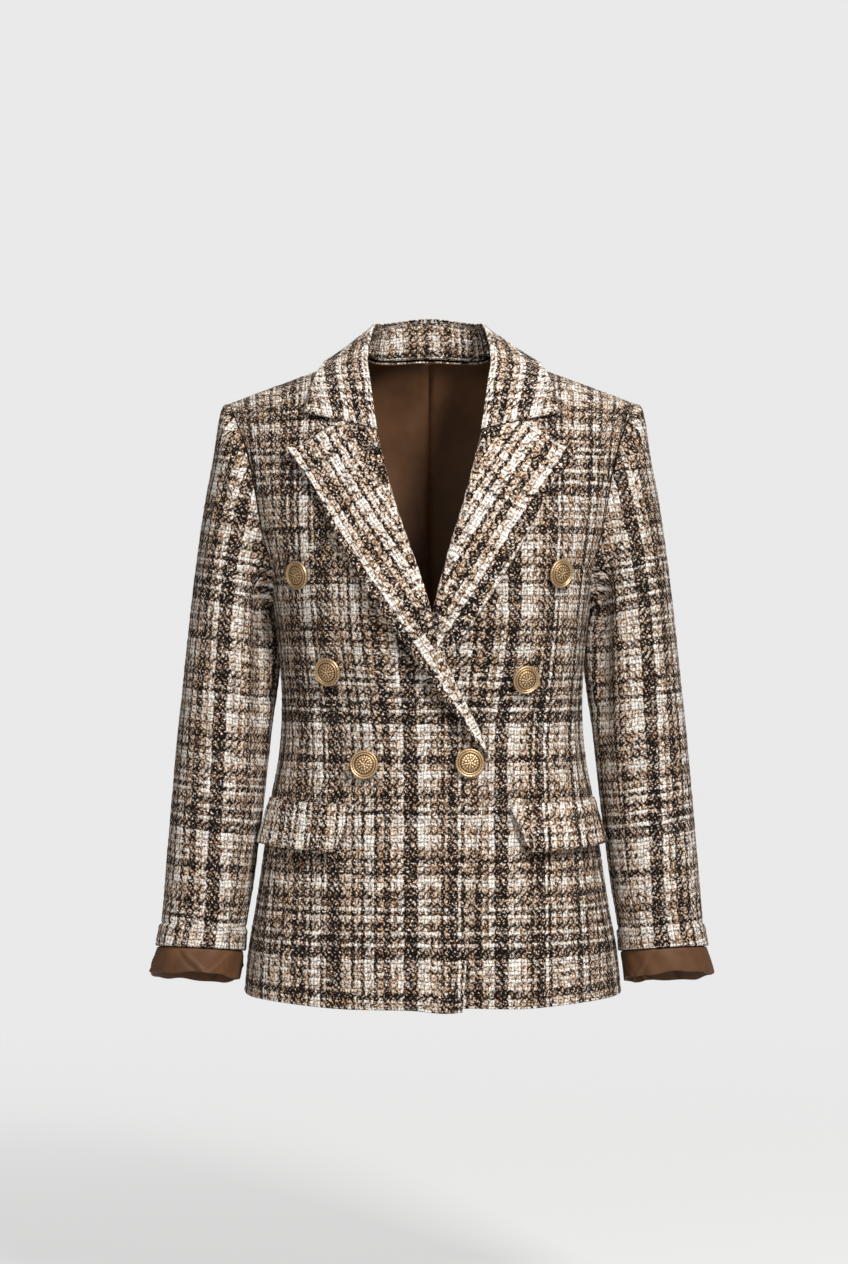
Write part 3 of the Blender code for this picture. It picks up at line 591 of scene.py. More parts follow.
def darted(points):
    """The stitched dart between the bust and the pocket, a shallow groove with a little fullness by it."""
    x, z = -points[..., 0], points[..., 2]
    (low, low_x), (high, high_x) = DART_LOW, DART_HIGH
    ends = smooth_step((z - low + 2) / 6) * smooth_step((high + 24 - z) / 45)
    away = x - mix(low_x, high_x, (z - low) / (high - low))
    return ends * (0.5 * np.exp(-((away / 9) ** 2)) - 1.5 * np.exp(-((away / 1.9) ** 2)))


def back_sheet(side, rows=(96, 66, 24), columns=62):
    low, high, neck = rows
    back_neck = 2.0 - COLLAR[-1].neck_over
    _, neck_x, neck_over, *_ = read(COLLAR, np.linspace(1.0, 0.42, neck + 1))
    rise = np.concatenate((np.linspace(0, 1, low + 1), np.linspace(1, back_neck, high + 1)[1:], 2 - neck_over[1:]))
    x = np.concatenate((np.zeros(low + high + 1), neck_x[1:]))
    inner, outer = turn_at(x, rise, behind=True), body_turn_seams(rise)[1]
    turn = mix(inner[:, None], outer[:, None], np.linspace(0, 1, columns + 1))
    point, normal = skin(turn, rise[:, None])
    across = CHART_START + 40 + along_rows(point) + np.abs(x)[:, None]
    grain = cut_apart(across, down_the_check(point), side)
    return Sheet(placed(point, side, "left"), placed(normal, side, "left"), CLOTH, grain)


def armhole_floor(turn):
    half = 90 - SIDE_SEAMS[-1].front
    return mix(UNDERARM_Z, CORNER_Z, np.minimum(np.abs(turn - 90) / half, 1.0) ** 2.2)


def side_sheet(side, rows=120, columns=44):
    share = np.linspace(0, 1, columns + 1)
    around = mix(SIDE_SEAMS[-1].front, SIDE_SEAMS[-1].back, share)
    top = rise_at(FLANK_X, armhole_floor(around))
    rise = top * np.linspace(0, 1, rows + 1)[:, None]
    front, back = body_turn_seams(np.minimum(rise, 1.0))
    point, normal = skin(mix(front, back, share), rise)
    run = along_rows(point)
    grain = cut_apart(CHART_START + 12 + run - run[:, -1:] / 2, down_the_check(point), side)
    return Sheet(placed(point, side, "left"), placed(normal, side, "left"), CLOTH, grain)


def armhole(turn):
    """The armhole seam, turn degrees round the sleeve from the shoulder point towards the front."""
    turn = (np.asarray(turn, float) + 180) % 360 - 180
    past = np.clip((np.abs(turn) - ARMHOLE_CORNER) / (180 - ARMHOLE_CORNER), 0, 1)
    around = mix(SIDE_SEAMS[-1].front, 90.0, past)
    around = np.where(turn < 0, 180 - around, around)
    below = torso(around, rise_at(FLANK_X, armhole_floor(around)))
    height = plain_sleeve(turn, 0.0)[..., 2]
    rise = solve(height, lambda rise: torso(body_turn_seams(rise)[0], rise)[..., 2], 1.0, 2.0)
    front, back = body_turn_seams(rise)
    above = torso(np.where(turn >= 0, front, back), rise)
    return np.where((np.abs(turn) >= ARMHOLE_CORNER)[..., None], below, above)


def plain_sleeve(turn, along):
    turn, along = np.broadcast_arrays(np.asarray(turn, float), np.asarray(along, float))
    _, outer_x, outer_z, inner_x, inner_z, front, back, middle_y = read(SLEEVE, along)
    angle = np.radians(turn)
    out = power(np.cos(angle), 2 / SLEEVE_ROUNDNESS)
    forward = power(np.sin(angle), 2 / SLEEVE_ROUNDNESS)
    depth = np.where(forward > 0, front, back) * forward
    tip = np.where(middle_y < 0, -middle_y * SLEEVE_TIP, 0.0)
    x = (outer_x + inner_x) / 2 + (outer_x - inner_x) / 2 * out
    z = (outer_z + inner_z) / 2 + (outer_z - inner_z) / 2 * out + tip * depth
    return np.stack((x, middle_y - depth, z), axis=-1)


def sleeve(turn, along):
    """The sleeve's outer face, which starts on the armhole seam and leaves it over the head."""
    point = plain_sleeve(turn, along)
    drawn = np.where(along < HEAD_END, (1 - along / HEAD_END) ** 2, 0.0)
    seam = armhole(turn) - plain_sleeve(turn, 0.0)
    return point + seam * np.broadcast_to(drawn, point.shape[:-1])[..., None]


def sleeve_sheet(side, first, last, columns, rows=184):
    along = np.linspace(0.0, SLEEVE[-1].along, rows + 1)[:, None]
    turn = np.linspace(first, last, columns + 1)[None, :]
    point, normal = outward(sleeve, turn, along, 1.0, 0.02)
    tilt = mix(0.12, 0.20, smooth_step((point[..., 2] + 320) / 120))
    down = -point[..., 2] + tilt * (point[..., 0] - 200)
    start = int(np.argmin(np.abs(turn[0]))) if first < 0 else 0
    around = level_run(point, down, start) + (0 if first < 0 else UNDER_SLEEVE_START)
    start, top = SLEEVE_CUTS[side]
    grain = cut_apart(CHART_START - start + around, (down - top) * len(WEFT) * WEFT_PITCH / SLEEVE_REPEAT, side)
    left_over = up_columns(point[::-1])[::-1]
    step = CUFF_STEP * smooth_step((CUFF_HEM + 1.5 - left_over) / 3)
    step = step - 0.9 * np.exp(-(((left_over - CUFF_HEM - 1.5) / 1.6) ** 2))
    point = off(point, normal, step)
    return Sheet(placed(point, side, "left"), placed(normal, side, "left"), CLOTH, grain)


def level_run(points, down, start):
    """Each point's length round the sheet from one column, along a line that keeps its count of down."""
    run = np.zeros(down.shape)
    for way, last in ((1, down.shape[1]), (-1, -1)):
        for j in range(start + way, last, way):
            before, wanted = down[:, j - way], down[:, j]
            foot = np.stack([np.interp(wanted, before, points[:, j - way, axis]) for axis in range(3)], axis=-1)
            step = np.linalg.norm(points[:, j] - foot, axis=-1)
            run[:, j] = np.interp(wanted, before, run[:, j - way]) + way * step
    return run


def gorge_point(half_width):
    """x and z of the lapel's upper edge, just below the collar's front end."""
    collar = COLLAR[0]
    share = (half_width - collar.neck_x) / (collar.edge_x - collar.neck_x)
    over = mix(collar.neck_over, collar.edge_over, share)
    return np.stack((-half_width, over_ridge(half_width, over)[..., 2] - GORGE_GAP), axis=-1)


def top_edge(s, gorge):
    """How far the lapel's top edge leaves the straight line from the gorge to the peak."""
    peak, notch = np.array(PEAK), gorge_point(np.array(-NOTCH_X))
    notch_s = (gorge[0] - notch[0]) / (gorge[0] - peak[0])
    straight = mix(gorge, peak, s[:, None])
    past = np.clip((s - notch_s) / (1 - notch_s), 0, 1)
    sag = past**3 * (1 - past) / (0.75**3 * 0.25)
    beyond = mix(notch, peak, past[:, None]) - np.stack((0 * sag, LAPEL_SAG * sag), axis=-1)
    return np.where((s <= notch_s)[:, None], gorge_point(-straight[:, 0]), beyond) - straight


def over_ridge(x, over):
    """A point of the right half of the body, over being the rise past the shoulder ridge."""
    rise = 2.0 - np.abs(over)
    ahead, behind = turn_at(np.abs(x), rise), turn_at(np.abs(x), rise, behind=True)
    return torso(-np.where(over > 0, behind, ahead), rise)


def over_ridge_normal(x, over):
    near = np.where(np.abs(over) > 0.02, over, np.copysign(0.02, over))
    rise = 2.0 - np.abs(near)
    ahead, behind = turn_at(np.abs(x), rise), turn_at(np.abs(x), rise, behind=True)
    return outward(torso, -np.where(near > 0, behind, ahead), rise)[1]


def lapel_sheet(side, rows=130, columns=38, wrap=9):
    """From inside the roll round to the outer edge, and from the break up to the gorge and the peak."""
    gorge = gorge_point(np.array(COLLAR[0].neck_x))
    t = np.linspace(0, 1, rows + 1)
    roll_z = mix(BREAK_Z + 6.0, gorge[1], t)
    roll = np.stack((front_edge(roll_z) - 0.4, roll_z), axis=-1)
    edge_z = mix(LAPEL_EDGE[0].height, PEAK[1], t)
    edge = np.stack((read(LAPEL_EDGE, edge_z)[1], edge_z), axis=-1)
    width = np.linalg.norm(edge - roll, axis=-1)
    radius = ROLL * mix(0.2, 1.0, smooth_step(t / 0.1))
    start = np.minimum((radius - 0.5) / np.maximum(width, 1.0), 0.3)
    lift = LIES_OFF + DOUBLE_CLOTH
    main, normals = [], []
    for i in range(rows + 1):
        s = mix(start[i], 1.0, np.linspace(0, 1, columns + 1))
        flat = mix(roll[i], edge[i], s[:, None]) + top_edge(s, gorge) * t[i] ** 4
        belly = EDGE_BELLY * smooth_step(t[i] / 0.05) * smooth_step((0.5 - t[i]) / 0.4)
        rise = (EDGE_LIFT * smooth_step(t[i] / 0.12) + belly) * s**2.5
        point, normal = on_front(flat[:, 0], flat[:, 1], lift + rise, side)
        main.append(point)
        normals.append(normal)
    main, normals = np.array(main), np.array(normals)
    away = unit(main[:, 2] - main[:, 0])
    away = unit(away - normals[:, 0] * (away * normals[:, 0]).sum(-1, keepdims=True))
    angle = np.radians(np.linspace(ROLL_TURN, 0, wrap + 1)[:-1])[None, :, None]
    facing, inwards = normals[:, None, 0], -away[:, None]
    centre = main[:, None, 0] - facing * radius[:, None, None]
    round_normals = facing * np.cos(angle) + inwards * np.sin(angle)
    points = np.concatenate((centre + round_normals * radius[:, None, None], main), axis=1)
    normals = np.concatenate((round_normals, normals), axis=1)
    thick = np.full(points.shape[:2], DOUBLE_CLOTH)
    share = smooth_step(np.linspace(1.6, 0, wrap + 1)[:-1])
    thick[:, :wrap] = np.minimum(mix(DOUBLE_CLOTH, ROLL_THIN, share), radius[:, None] * 0.8 + 0.4)
    # the warp runs along the straight line from the peak to the break
    break_point, peak = points[0, -1], points[-1, -1]
    up = unit((peak - break_point) * (1, 0, 1))
    inwards = unit(np.cross(up, (0, -1, 0) if side == "left" else (0, 1, 0)))
    away = points[:, wrap:] - peak
    run, around = away @ -up, away @ inwards
    back_round = along_rows(points[:, wrap::-1])[:, :0:-1]
    around = np.concatenate((around[:, :1] + back_round, around), axis=1)
    run = np.concatenate((np.repeat(run[:, :1], wrap, axis=1), run), axis=1)
    return Sheet(points, normals, thick, cut_apart(CHART_START - LAPEL_CUTS[side] + around, run, side))


def fall_sheet(rows=96, columns=30):
    """The collar's fall, from the right front end round the neck to the left one."""
    along = np.linspace(0, 1, rows + 1)[:, None] * np.ones(columns + 1)
    across = np.linspace(0, 1, columns + 1)[None, :] * np.ones((rows + 1, 1))
    _, neck_x, neck_over, lean, back, up, edge_x, edge_over = read(COLLAR, along)
    x, over = mix(neck_x, edge_x, across), mix(neck_over, edge_over, across)
    normal = over_ridge_normal(x, over)
    fold = np.stack((-lean, back, up), axis=-1)
    roll = FALL_ROLL * up / COLLAR[-1].up * np.sin(np.pi * across) ** 2
    lift = LIES_OFF + DOUBLE_CLOTH + roll * (1 - across) + COLLAR_LIFT * across**3
    half = off(over_ridge(x, over), normal, lift) + fold * (1 - across)[..., None]
    points = np.concatenate((half, placed(half, "left")[-2::-1]))
    run = up_columns(points)[:, columns // 2 : columns // 2 + 1]
    from_end = np.minimum(run, run[-1] - run)
    sideways = along_rows(points)
    grain = np.stack((CHART_START - 60 + sideways, 12 - from_end + 0 * sideways), axis=-1)
    return Sheet(points, grid_normals(points), DOUBLE_CLOTH, grain)


def stand_sheet(rows=70, columns=12):
    _, neck_x, neck_over, lean, back, up, _, _ = read(COLLAR, np.linspace(STAND_FROM, 1.0, rows + 1))
    foot = over_ridge(neck_x, neck_over) + np.array((0, 0, STAND_FOOT))
    top = foot + np.stack((-lean, back, up - STAND_BELOW_FOLD + DOUBLE_CLOTH), axis=-1)
    half = mix(top[:, None], foot[:, None], np.linspace(0, 1, columns + 1)[None, :, None])
    points = np.concatenate((half, placed(half, "left")[-2::-1]))
    grain = np.stack((CHART_START + 30 + along_rows(points), up_columns(points)), axis=-1)
    return Sheet(points, grid_normals(points), CLOTH, grain)


def grid_normals(points):
    return unit(np.cross(np.gradient(points, axis=0), np.gradient(points, axis=1)))


def flap_sheet(side, rows=22, columns=60):
    t = np.linspace(0, 1, rows + 1)[:, None]
    s = np.linspace(0, 1, columns + 1)[None, :]
    front, back = mix(FLAP_FRONT[1], FLAP_FRONT[0], t), mix(FLAP_BACK[1], FLAP_BACK[0], t)
    z = mix(mix(*reversed(FLAP_BOTTOM_Z), s), mix(*reversed(FLAP_TOP_Z), s), t)
    rise, turn = rise_at(FLANK_X, z), -mix(back, front, s)
    point, normal = skin(turn, rise)
    repeat = len(WEFT) * WEFT_PITCH
    top_z = mix(*FLAP_TOP_Z, 0.5)
    run = up_columns(point)
    further, lower = FLAP_CUTS[side]
    down = (1 + (BAND_TOPS[1] - top_z) / (BAND_TOPS[1] - BAND_TOPS[2])) * repeat + run[-1] - run + lower
    across = across_the_check(round_arc(turn, rise), z, side) + further
    lift = LIES_OFF + DOUBLE_CLOTH + FLAP_STANDS_OFF * (1 - t) ** 1.1 + FLAP_CURL * s**7 * (1 - 0.5 * t)
    lift = lift + FLAP_WAVE * np.sin(s * 7.3 + (1.0 if side == "right" else 2.6)) * (1 - t)
    if side == "right":
        lift = lift + over_lap(point[..., 0], point[..., 2])
    point = off(point, normal, lift)
    return Sheet(placed(point, side), placed(normal, side), DOUBLE_CLOTH, cut_apart(across, down, side))


# From sheets to walls of cloth


def swayed(points):
    """Shifts the neck, the collar and the tops of the lapels sideways, and nothing below or beside them."""
    beside = 1 - smooth_step((np.abs(points[..., 0]) - 50) / 70)
    above = smooth_step((points[..., 2] + 260) / 130)
    return points + (NECK_SWAY * beside * above)[..., None] * np.array((1, 0, 0))


def folded(sheet, folds, side):
    """The sheet with its soft folds, which are ridges and troughs that fade out on every side."""
    out = np.zeros(sheet.points.shape[:2])
    flip = -1 if side == "right" else 1
    for fold in folds:
        way = unit(np.array((fold.run_x * flip, fold.run_y, fold.run_z)))
        away = sheet.points - np.array((fold.x * flip, fold.y, fold.z))
        run = away @ way
        beside = np.linalg.norm(away - run[..., None] * way, axis=-1)
        out += fold.rise * np.exp(-((run / fold.length) ** 2) - (beside / fold.width) ** 2)
    return sheet._replace(points=off(sheet.points, sheet.normals, out))


def hem_waves(sheet, phase):
    """The slight waves of the hem, which die out upwards."""
    x, y, z = np.moveaxis(sheet.points, -1, 0)
    around = np.degrees(np.arctan2(x, -y))
    out = np.sin(np.radians(around * 5.0) + phase) + 0.6 * np.sin(np.radians(around * 11.0) + 2 * phase)
    out = out * smooth_step((-470 - z) / 130) * HEM_WAVE
    return sheet._replace(points=off(sheet.points, sheet.normals, out))


def hem_line(sheet, side):
    """The hem's line: the right front's corner hangs lowest, and the hem rises a little to the sides."""
    x, _, z = np.moveaxis(sheet.points, -1, 0)
    low = smooth_step((HEM_Z + 75 - z) / 75)
    rise = 5.0 * smooth_step((np.abs(x) - 70) / 110)
    if side == "right":
        rise = rise - 3.0 * np.exp(-(((x - 12) / 22) ** 2))
    elif side == "left":
        rise = rise + 1.5 * smooth_step((90 - np.abs(x)) / 60)
    return sheet._replace(points=sheet.points + (rise * low)[..., None] * np.array((0, 0, 1)))


def drawn_in(points, gap):
    """The points with the outermost ones moved in by half a seam gap."""
    moved = points.copy()
    moved[0] += unit(points[1] - points[0]) * gap / 2
    moved[-1] += unit(points[-2] - points[-1]) * gap / 2
    moved[:, 0] += unit(points[:, 1] - points[:, 0]) * gap / 2
    moved[:, -1] += unit(points[:, -2] - points[:, -1]) * gap / 2
    return moved


def rims(points, grain, soft):
    """For the points round a sheet's border: the way out of the sheet, as long as the rim is round, the
    same way on its grain, and how much further the lining goes out, which meets its neighbour at a seam."""
    way, roundness = np.zeros_like(points), np.zeros(points.shape[:2])
    grain_way = np.zeros_like(grain)
    sides = (
        (np.s_[0, :], np.s_[1, :], soft[0]),
        (np.s_[-1, :], np.s_[-2, :], soft[1]),
        (np.s_[:, 0], np.s_[:, 1], soft[2]),
        (np.s_[:, -1], np.s_[:, -2], soft[3]),
    )
    for edge, inside, radius in sides:
        step = points[edge] - points[inside]
        length = np.maximum(np.linalg.norm(step, axis=-1, keepdims=True), 0.3)
        way[edge] += step / length
        grain_way[edge] += (grain[edge] - grain[inside]) / length
        roundness[edge] = np.maximum(roundness[edge], np.minimum(radius, 0.8 * length[..., 0]))
    closed = np.where((roundness > 0) & (roundness < 0.9), 1 + 0.25 / np.maximum(roundness, 0.1), 0.0)
    return unit(way) * roundness[..., None], grain_way, closed


def new_object(name, mesh, *materials):
    """The finished bmesh as an object of the scene."""
    data = bpy.data.meshes.new(name)
    mesh.to_mesh(data)
    mesh.free()
    for material in materials:
        data.materials.append(material)
    piece = bpy.data.objects.new(name, data)
    bpy.context.scene.collection.objects.link(piece)
    return piece


def cloth_wall(name, sheet, soft, cloth, lining, faced, gap):
    """A wall of cloth: a flat grid extruded once, with its rim cut twice, bent to the sheet's form.
    soft gives the rim's roundness at the first row, last row, first column and last column, and faced
    the places where the inside shows the cloth and not the lining."""
    sizes = bpy.context.scene.jacket_cloth
    points = drawn_in(sheet.points, gap)
    rows, columns = points.shape[0] - 1, points.shape[1] - 1
    mesh = bmesh.new()
    bmesh.ops.create_grid(mesh, x_segments=columns, y_segments=rows, size=1.0)
    raised = bmesh.ops.extrude_face_region(mesh, geom=mesh.faces[:])["geom"]
    bmesh.ops.translate(mesh, verts=[v for v in raised if isinstance(v, bmesh.types.BMVert)], vec=(0, 0, 1))
    rim = [edge for edge in mesh.edges if abs(edge.verts[0].co.z - edge.verts[1].co.z) > 0.5]
    bmesh.ops.subdivide_edges(mesh, edges=rim, cuts=2)
    bmesh.ops.recalc_face_normals(mesh, faces=mesh.faces[:])
    mesh.verts.index_update()
    flat = np.array([vertex.co[:] for vertex in mesh.verts])
    j = np.rint((flat[:, 0] + 1) / 2 * columns).astype(int)
    i = np.rint((flat[:, 1] + 1) / 2 * rows).astype(int)
    level = flat[:, 2]
    way, grain_way, closed = rims(points, sheet.grain, soft)
    angle = (level - 0.5) * math.pi
    thick = np.broadcast_to(sheet.thick, points.shape[:2])
    inset = (1 - np.cos(angle))[:, None] - closed[i, j][:, None] * (level < 0.1)[:, None]
    normal = sheet.normals[i, j]
    depth = thick[i, j] * (0.5 - 0.5 * np.sin(angle))
    place = swayed(points[i, j] - way[i, j] * inset - normal * depth[:, None])
    nubs = np.array([noise.noise(Vector(p) * NUBS) + 0.5 * noise.noise(Vector(p) * SMALL_NUBS) for p in place])
    place = place + normal * (nubs * level * sizes.nub / MM)[:, None]
    grain = sheet.grain[i, j] + grain_way[i, j] * ((1 - level) * thick[i, j] * 1.2)[:, None]
    piece = new_object(name, mesh, cloth, lining)
    data = piece.data
    data.vertices.foreach_set("co", (place * MM).astype(np.float32).ravel())
    data.update()
    corners = np.zeros(len(data.loops), np.int32)
    data.loops.foreach_get("vertex_index", corners)
    facing = np.zeros(len(data.polygons) * 3, np.float32)
    data.polygons.foreach_get("normal", facing)
    quads = corners.reshape(-1, 4)
    outer = level[quads].min(axis=1) > 0.99
    if (facing.reshape(-1, 3)[outer] * normal[quads[outer, 0]]).sum() < 0:
        data.flip_normals()
        data.loops.foreach_get("vertex_index", corners)
        quads = corners.reshape(-1, 4)
    grain_map = data.uv_layers.new(name="Grain")
    grain_map.data.foreach_set("uv", (grain[corners] * MM).astype(np.float32).ravel())
    inner = level[quads].max(axis=1) < 0.5
    if faced is not None:
        inner &= ~faced[i[quads[:, 0]], j[quads[:, 0]]]
    data.polygons.foreach_set("material_index", inner.astype(np.int32))
    data.shade_smooth()
    return piece


def area_of(points):
    first = np.cross(points[1:, :-1] - points[:-1, :-1], points[:-1, 1:] - points[:-1, :-1])
    second = np.cross(points[1:, :-1] - points[1:, 1:], points[:-1, 1:] - points[1:, 1:])
    return (np.linalg.norm(first, axis=-1).sum() + np.linalg.norm(second, axis=-1).sum()) / 2


def declare(piece, node):
    """Sets the piece on the root body and hides the solid that it stands for."""
    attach(piece, "root")
    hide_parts(node)


def declare_cloth(piece, node, points):
    """Sets a sheet of cloth on its body and hides its solid, as declare does; the flat size of its cut is worked
    out, but not kept.
    """
    declare(piece, node)
    width = along_rows(points)[:, -1].max() * MM
    length = up_columns(points)[-1].max() * MM
    area = min(area_of(points) * MM * MM, width * length)


def make_cloth(part, sheet, side="", faced=None, gap=SEAM):
    """The part's wall of cloth, on one side of the body or across it."""
    slot, rim, held, rests_on = PARTS[part]
    node = part + "_" + side if side else part
    cloth = body_tweed() if slot == "tweed" else pressed_tweed()
    piece = cloth_wall(node + "_cloth", sheet, rim, cloth, cloth if faced is None else body_lining(), faced, gap / 2)
    declare_cloth(piece, node, sheet.points)


# Finishes


class Wire:
    """A value that nodes work out. Its sums, differences, products and quotients are nodes too."""

    def __init__(self, bench, socket):
        self.bench, self.socket = bench, socket

    def __add__(self, other):
        return self.bench.math("ADD", self, other)

    def __sub__(self, other):
        return self.bench.math("SUBTRACT", self, other)

    def __mul__(self, other):
        return self.bench.math("MULTIPLY", self, other)

    def __truediv__(self, other):
        return self.bench.math("DIVIDE", self, other)


class Bench:
    """A new material, with short ways to add nodes and to join them."""

    def __init__(self, name):
        self.material = bpy.data.materials.new(name)
        self.material.use_nodes = True
        self.tree = self.material.node_tree
        self.shader = self.tree.nodes["Principled BSDF"]

    def put(self, socket, value):
        if isinstance(value, Wire):
            self.tree.links.new(value.socket, socket)
        else:
            socket.default_value = value

    def add(self, kind, inputs=None, output=0, **settings):
        """One output of a new node."""
        node = self.tree.nodes.new(kind)
        for key, value in settings.items():
            setattr(node, key, value)
        for key, value in (inputs or {}).items():
            self.put(node.inputs[key], value)
        return Wire(self, node.outputs[output])

    def parts(self, kind, value):
        """The parts of a vector or a colour."""
        node = self.tree.nodes.new(kind)
        self.put(node.inputs[0], value)
        return [Wire(self, socket) for socket in node.outputs]

    def math(self, operation, *values):
        return self.add("ShaderNodeMath", dict(enumerate(values)), operation=operation)

    def vector(self, operation, *values):
        inputs = dict(enumerate(values))
        if operation == "SCALE":
            inputs = {0: values[0], "Scale": values[1]}
        return self.add("ShaderNodeVectorMath", inputs, operation=operation)

    def length(self, vector):
        return self.add("ShaderNodeVectorMath", {0: vector}, "Value", operation="LENGTH")

    def joined(self, x, y, z=0.0):
        return self.add("ShaderNodeCombineXYZ", {0: x, 1: y, 2: z})

    def mixed(self, share, a, b, blend="MIX"):
        inputs = {0: share, 6: a, 7: b}
        return self.add("ShaderNodeMix", inputs, 2, data_type="RGBA", blend_type=blend)

    def between(self, share, a, b):
        return self.add("ShaderNodeMix", {0: share, 2: a, 3: b}, data_type="FLOAT")

    def ranged(self, value, low, high, to_low=0.0, to_high=1.0, smooth=True):
        kind = "SMOOTHSTEP" if smooth else "LINEAR"
        inputs = {0: value, 1: low, 2: high, 3: to_low, 4: to_high}
        return self.add("ShaderNodeMapRange", inputs, interpolation_type=kind)

    def ramp(self, value, stops, interpolation="LINEAR"):
        wire = self.add("ShaderNodeValToRGB", {0: value})
        ramp = wire.socket.node.color_ramp
        ramp.interpolation = interpolation
        while len(ramp.elements) > 1:
            ramp.elements.remove(ramp.elements[-1])
        ramp.elements[0].position = stops[0][0]
        for k, (position, colour) in enumerate(stops):
            element = ramp.elements.new(position) if k else ramp.elements[0]
            element.color = (*colour[:3], 1)
        return wire

    def speckle(self, place, scale, detail=0.0, roughness=0.5, output=0):
        inputs = {"Vector": place, "Scale": scale, "Detail": detail, "Roughness": roughness}
        return self.add("ShaderNodeTexNoise", inputs, output, noise_dimensions="3D")

    def chance(self, x, y, z=0.0, output=0):
        """Random for each whole x and y."""
        kind = "3D" if z else "2D"
        return self.add("ShaderNodeTexWhiteNoise", {"Vector": self.joined(x, y, z)}, output, noise_dimensions=kind)

    def bump(self, height, strength, distance):
        return self.add("ShaderNodeBump", {"Height": height, "Strength": strength, "Distance": distance})

    def chart(self, yarns, index):
        """A yarn's lightness and warmth, from a string with a letter for each yarn of the repeat."""
        count = len(yarns)
        share = self.math("FRACT", (index + 0.5) / count)
        half = count // 2
        tones = []
        for start, end in ((0, half), (half, count)):
            changes = [k for k in range(start, end) if k == start or yarns[k] != yarns[k - 1]]
            tones.append(self.ramp(share, [(k / count, YARNS[yarns[k]] + (0.0,)) for k in changes], "CONSTANT"))
        return self.mixed(self.math("GREATER_THAN", share, half / count), *tones)

    def done(self, inputs):
        """The material, with the shader's inputs set to numbers or joined to wires."""
        for key, value in inputs.items():
            self.put(self.shader.inputs[key], value)
        return self.material


def yarn(bench, letters, count, place, stretch):
    """Red holds a yarn's lightness, which wavers along its length, and green its warmth."""
    wave = bench.speckle(bench.vector("MULTIPLY", place, stretch), 1.0, 2.0, 0.6) - 0.5
    return bench.mixed(1.0, bench.chart(letters, count), bench.joined(wave * SELF_SHADE, 0.0), "ADD")


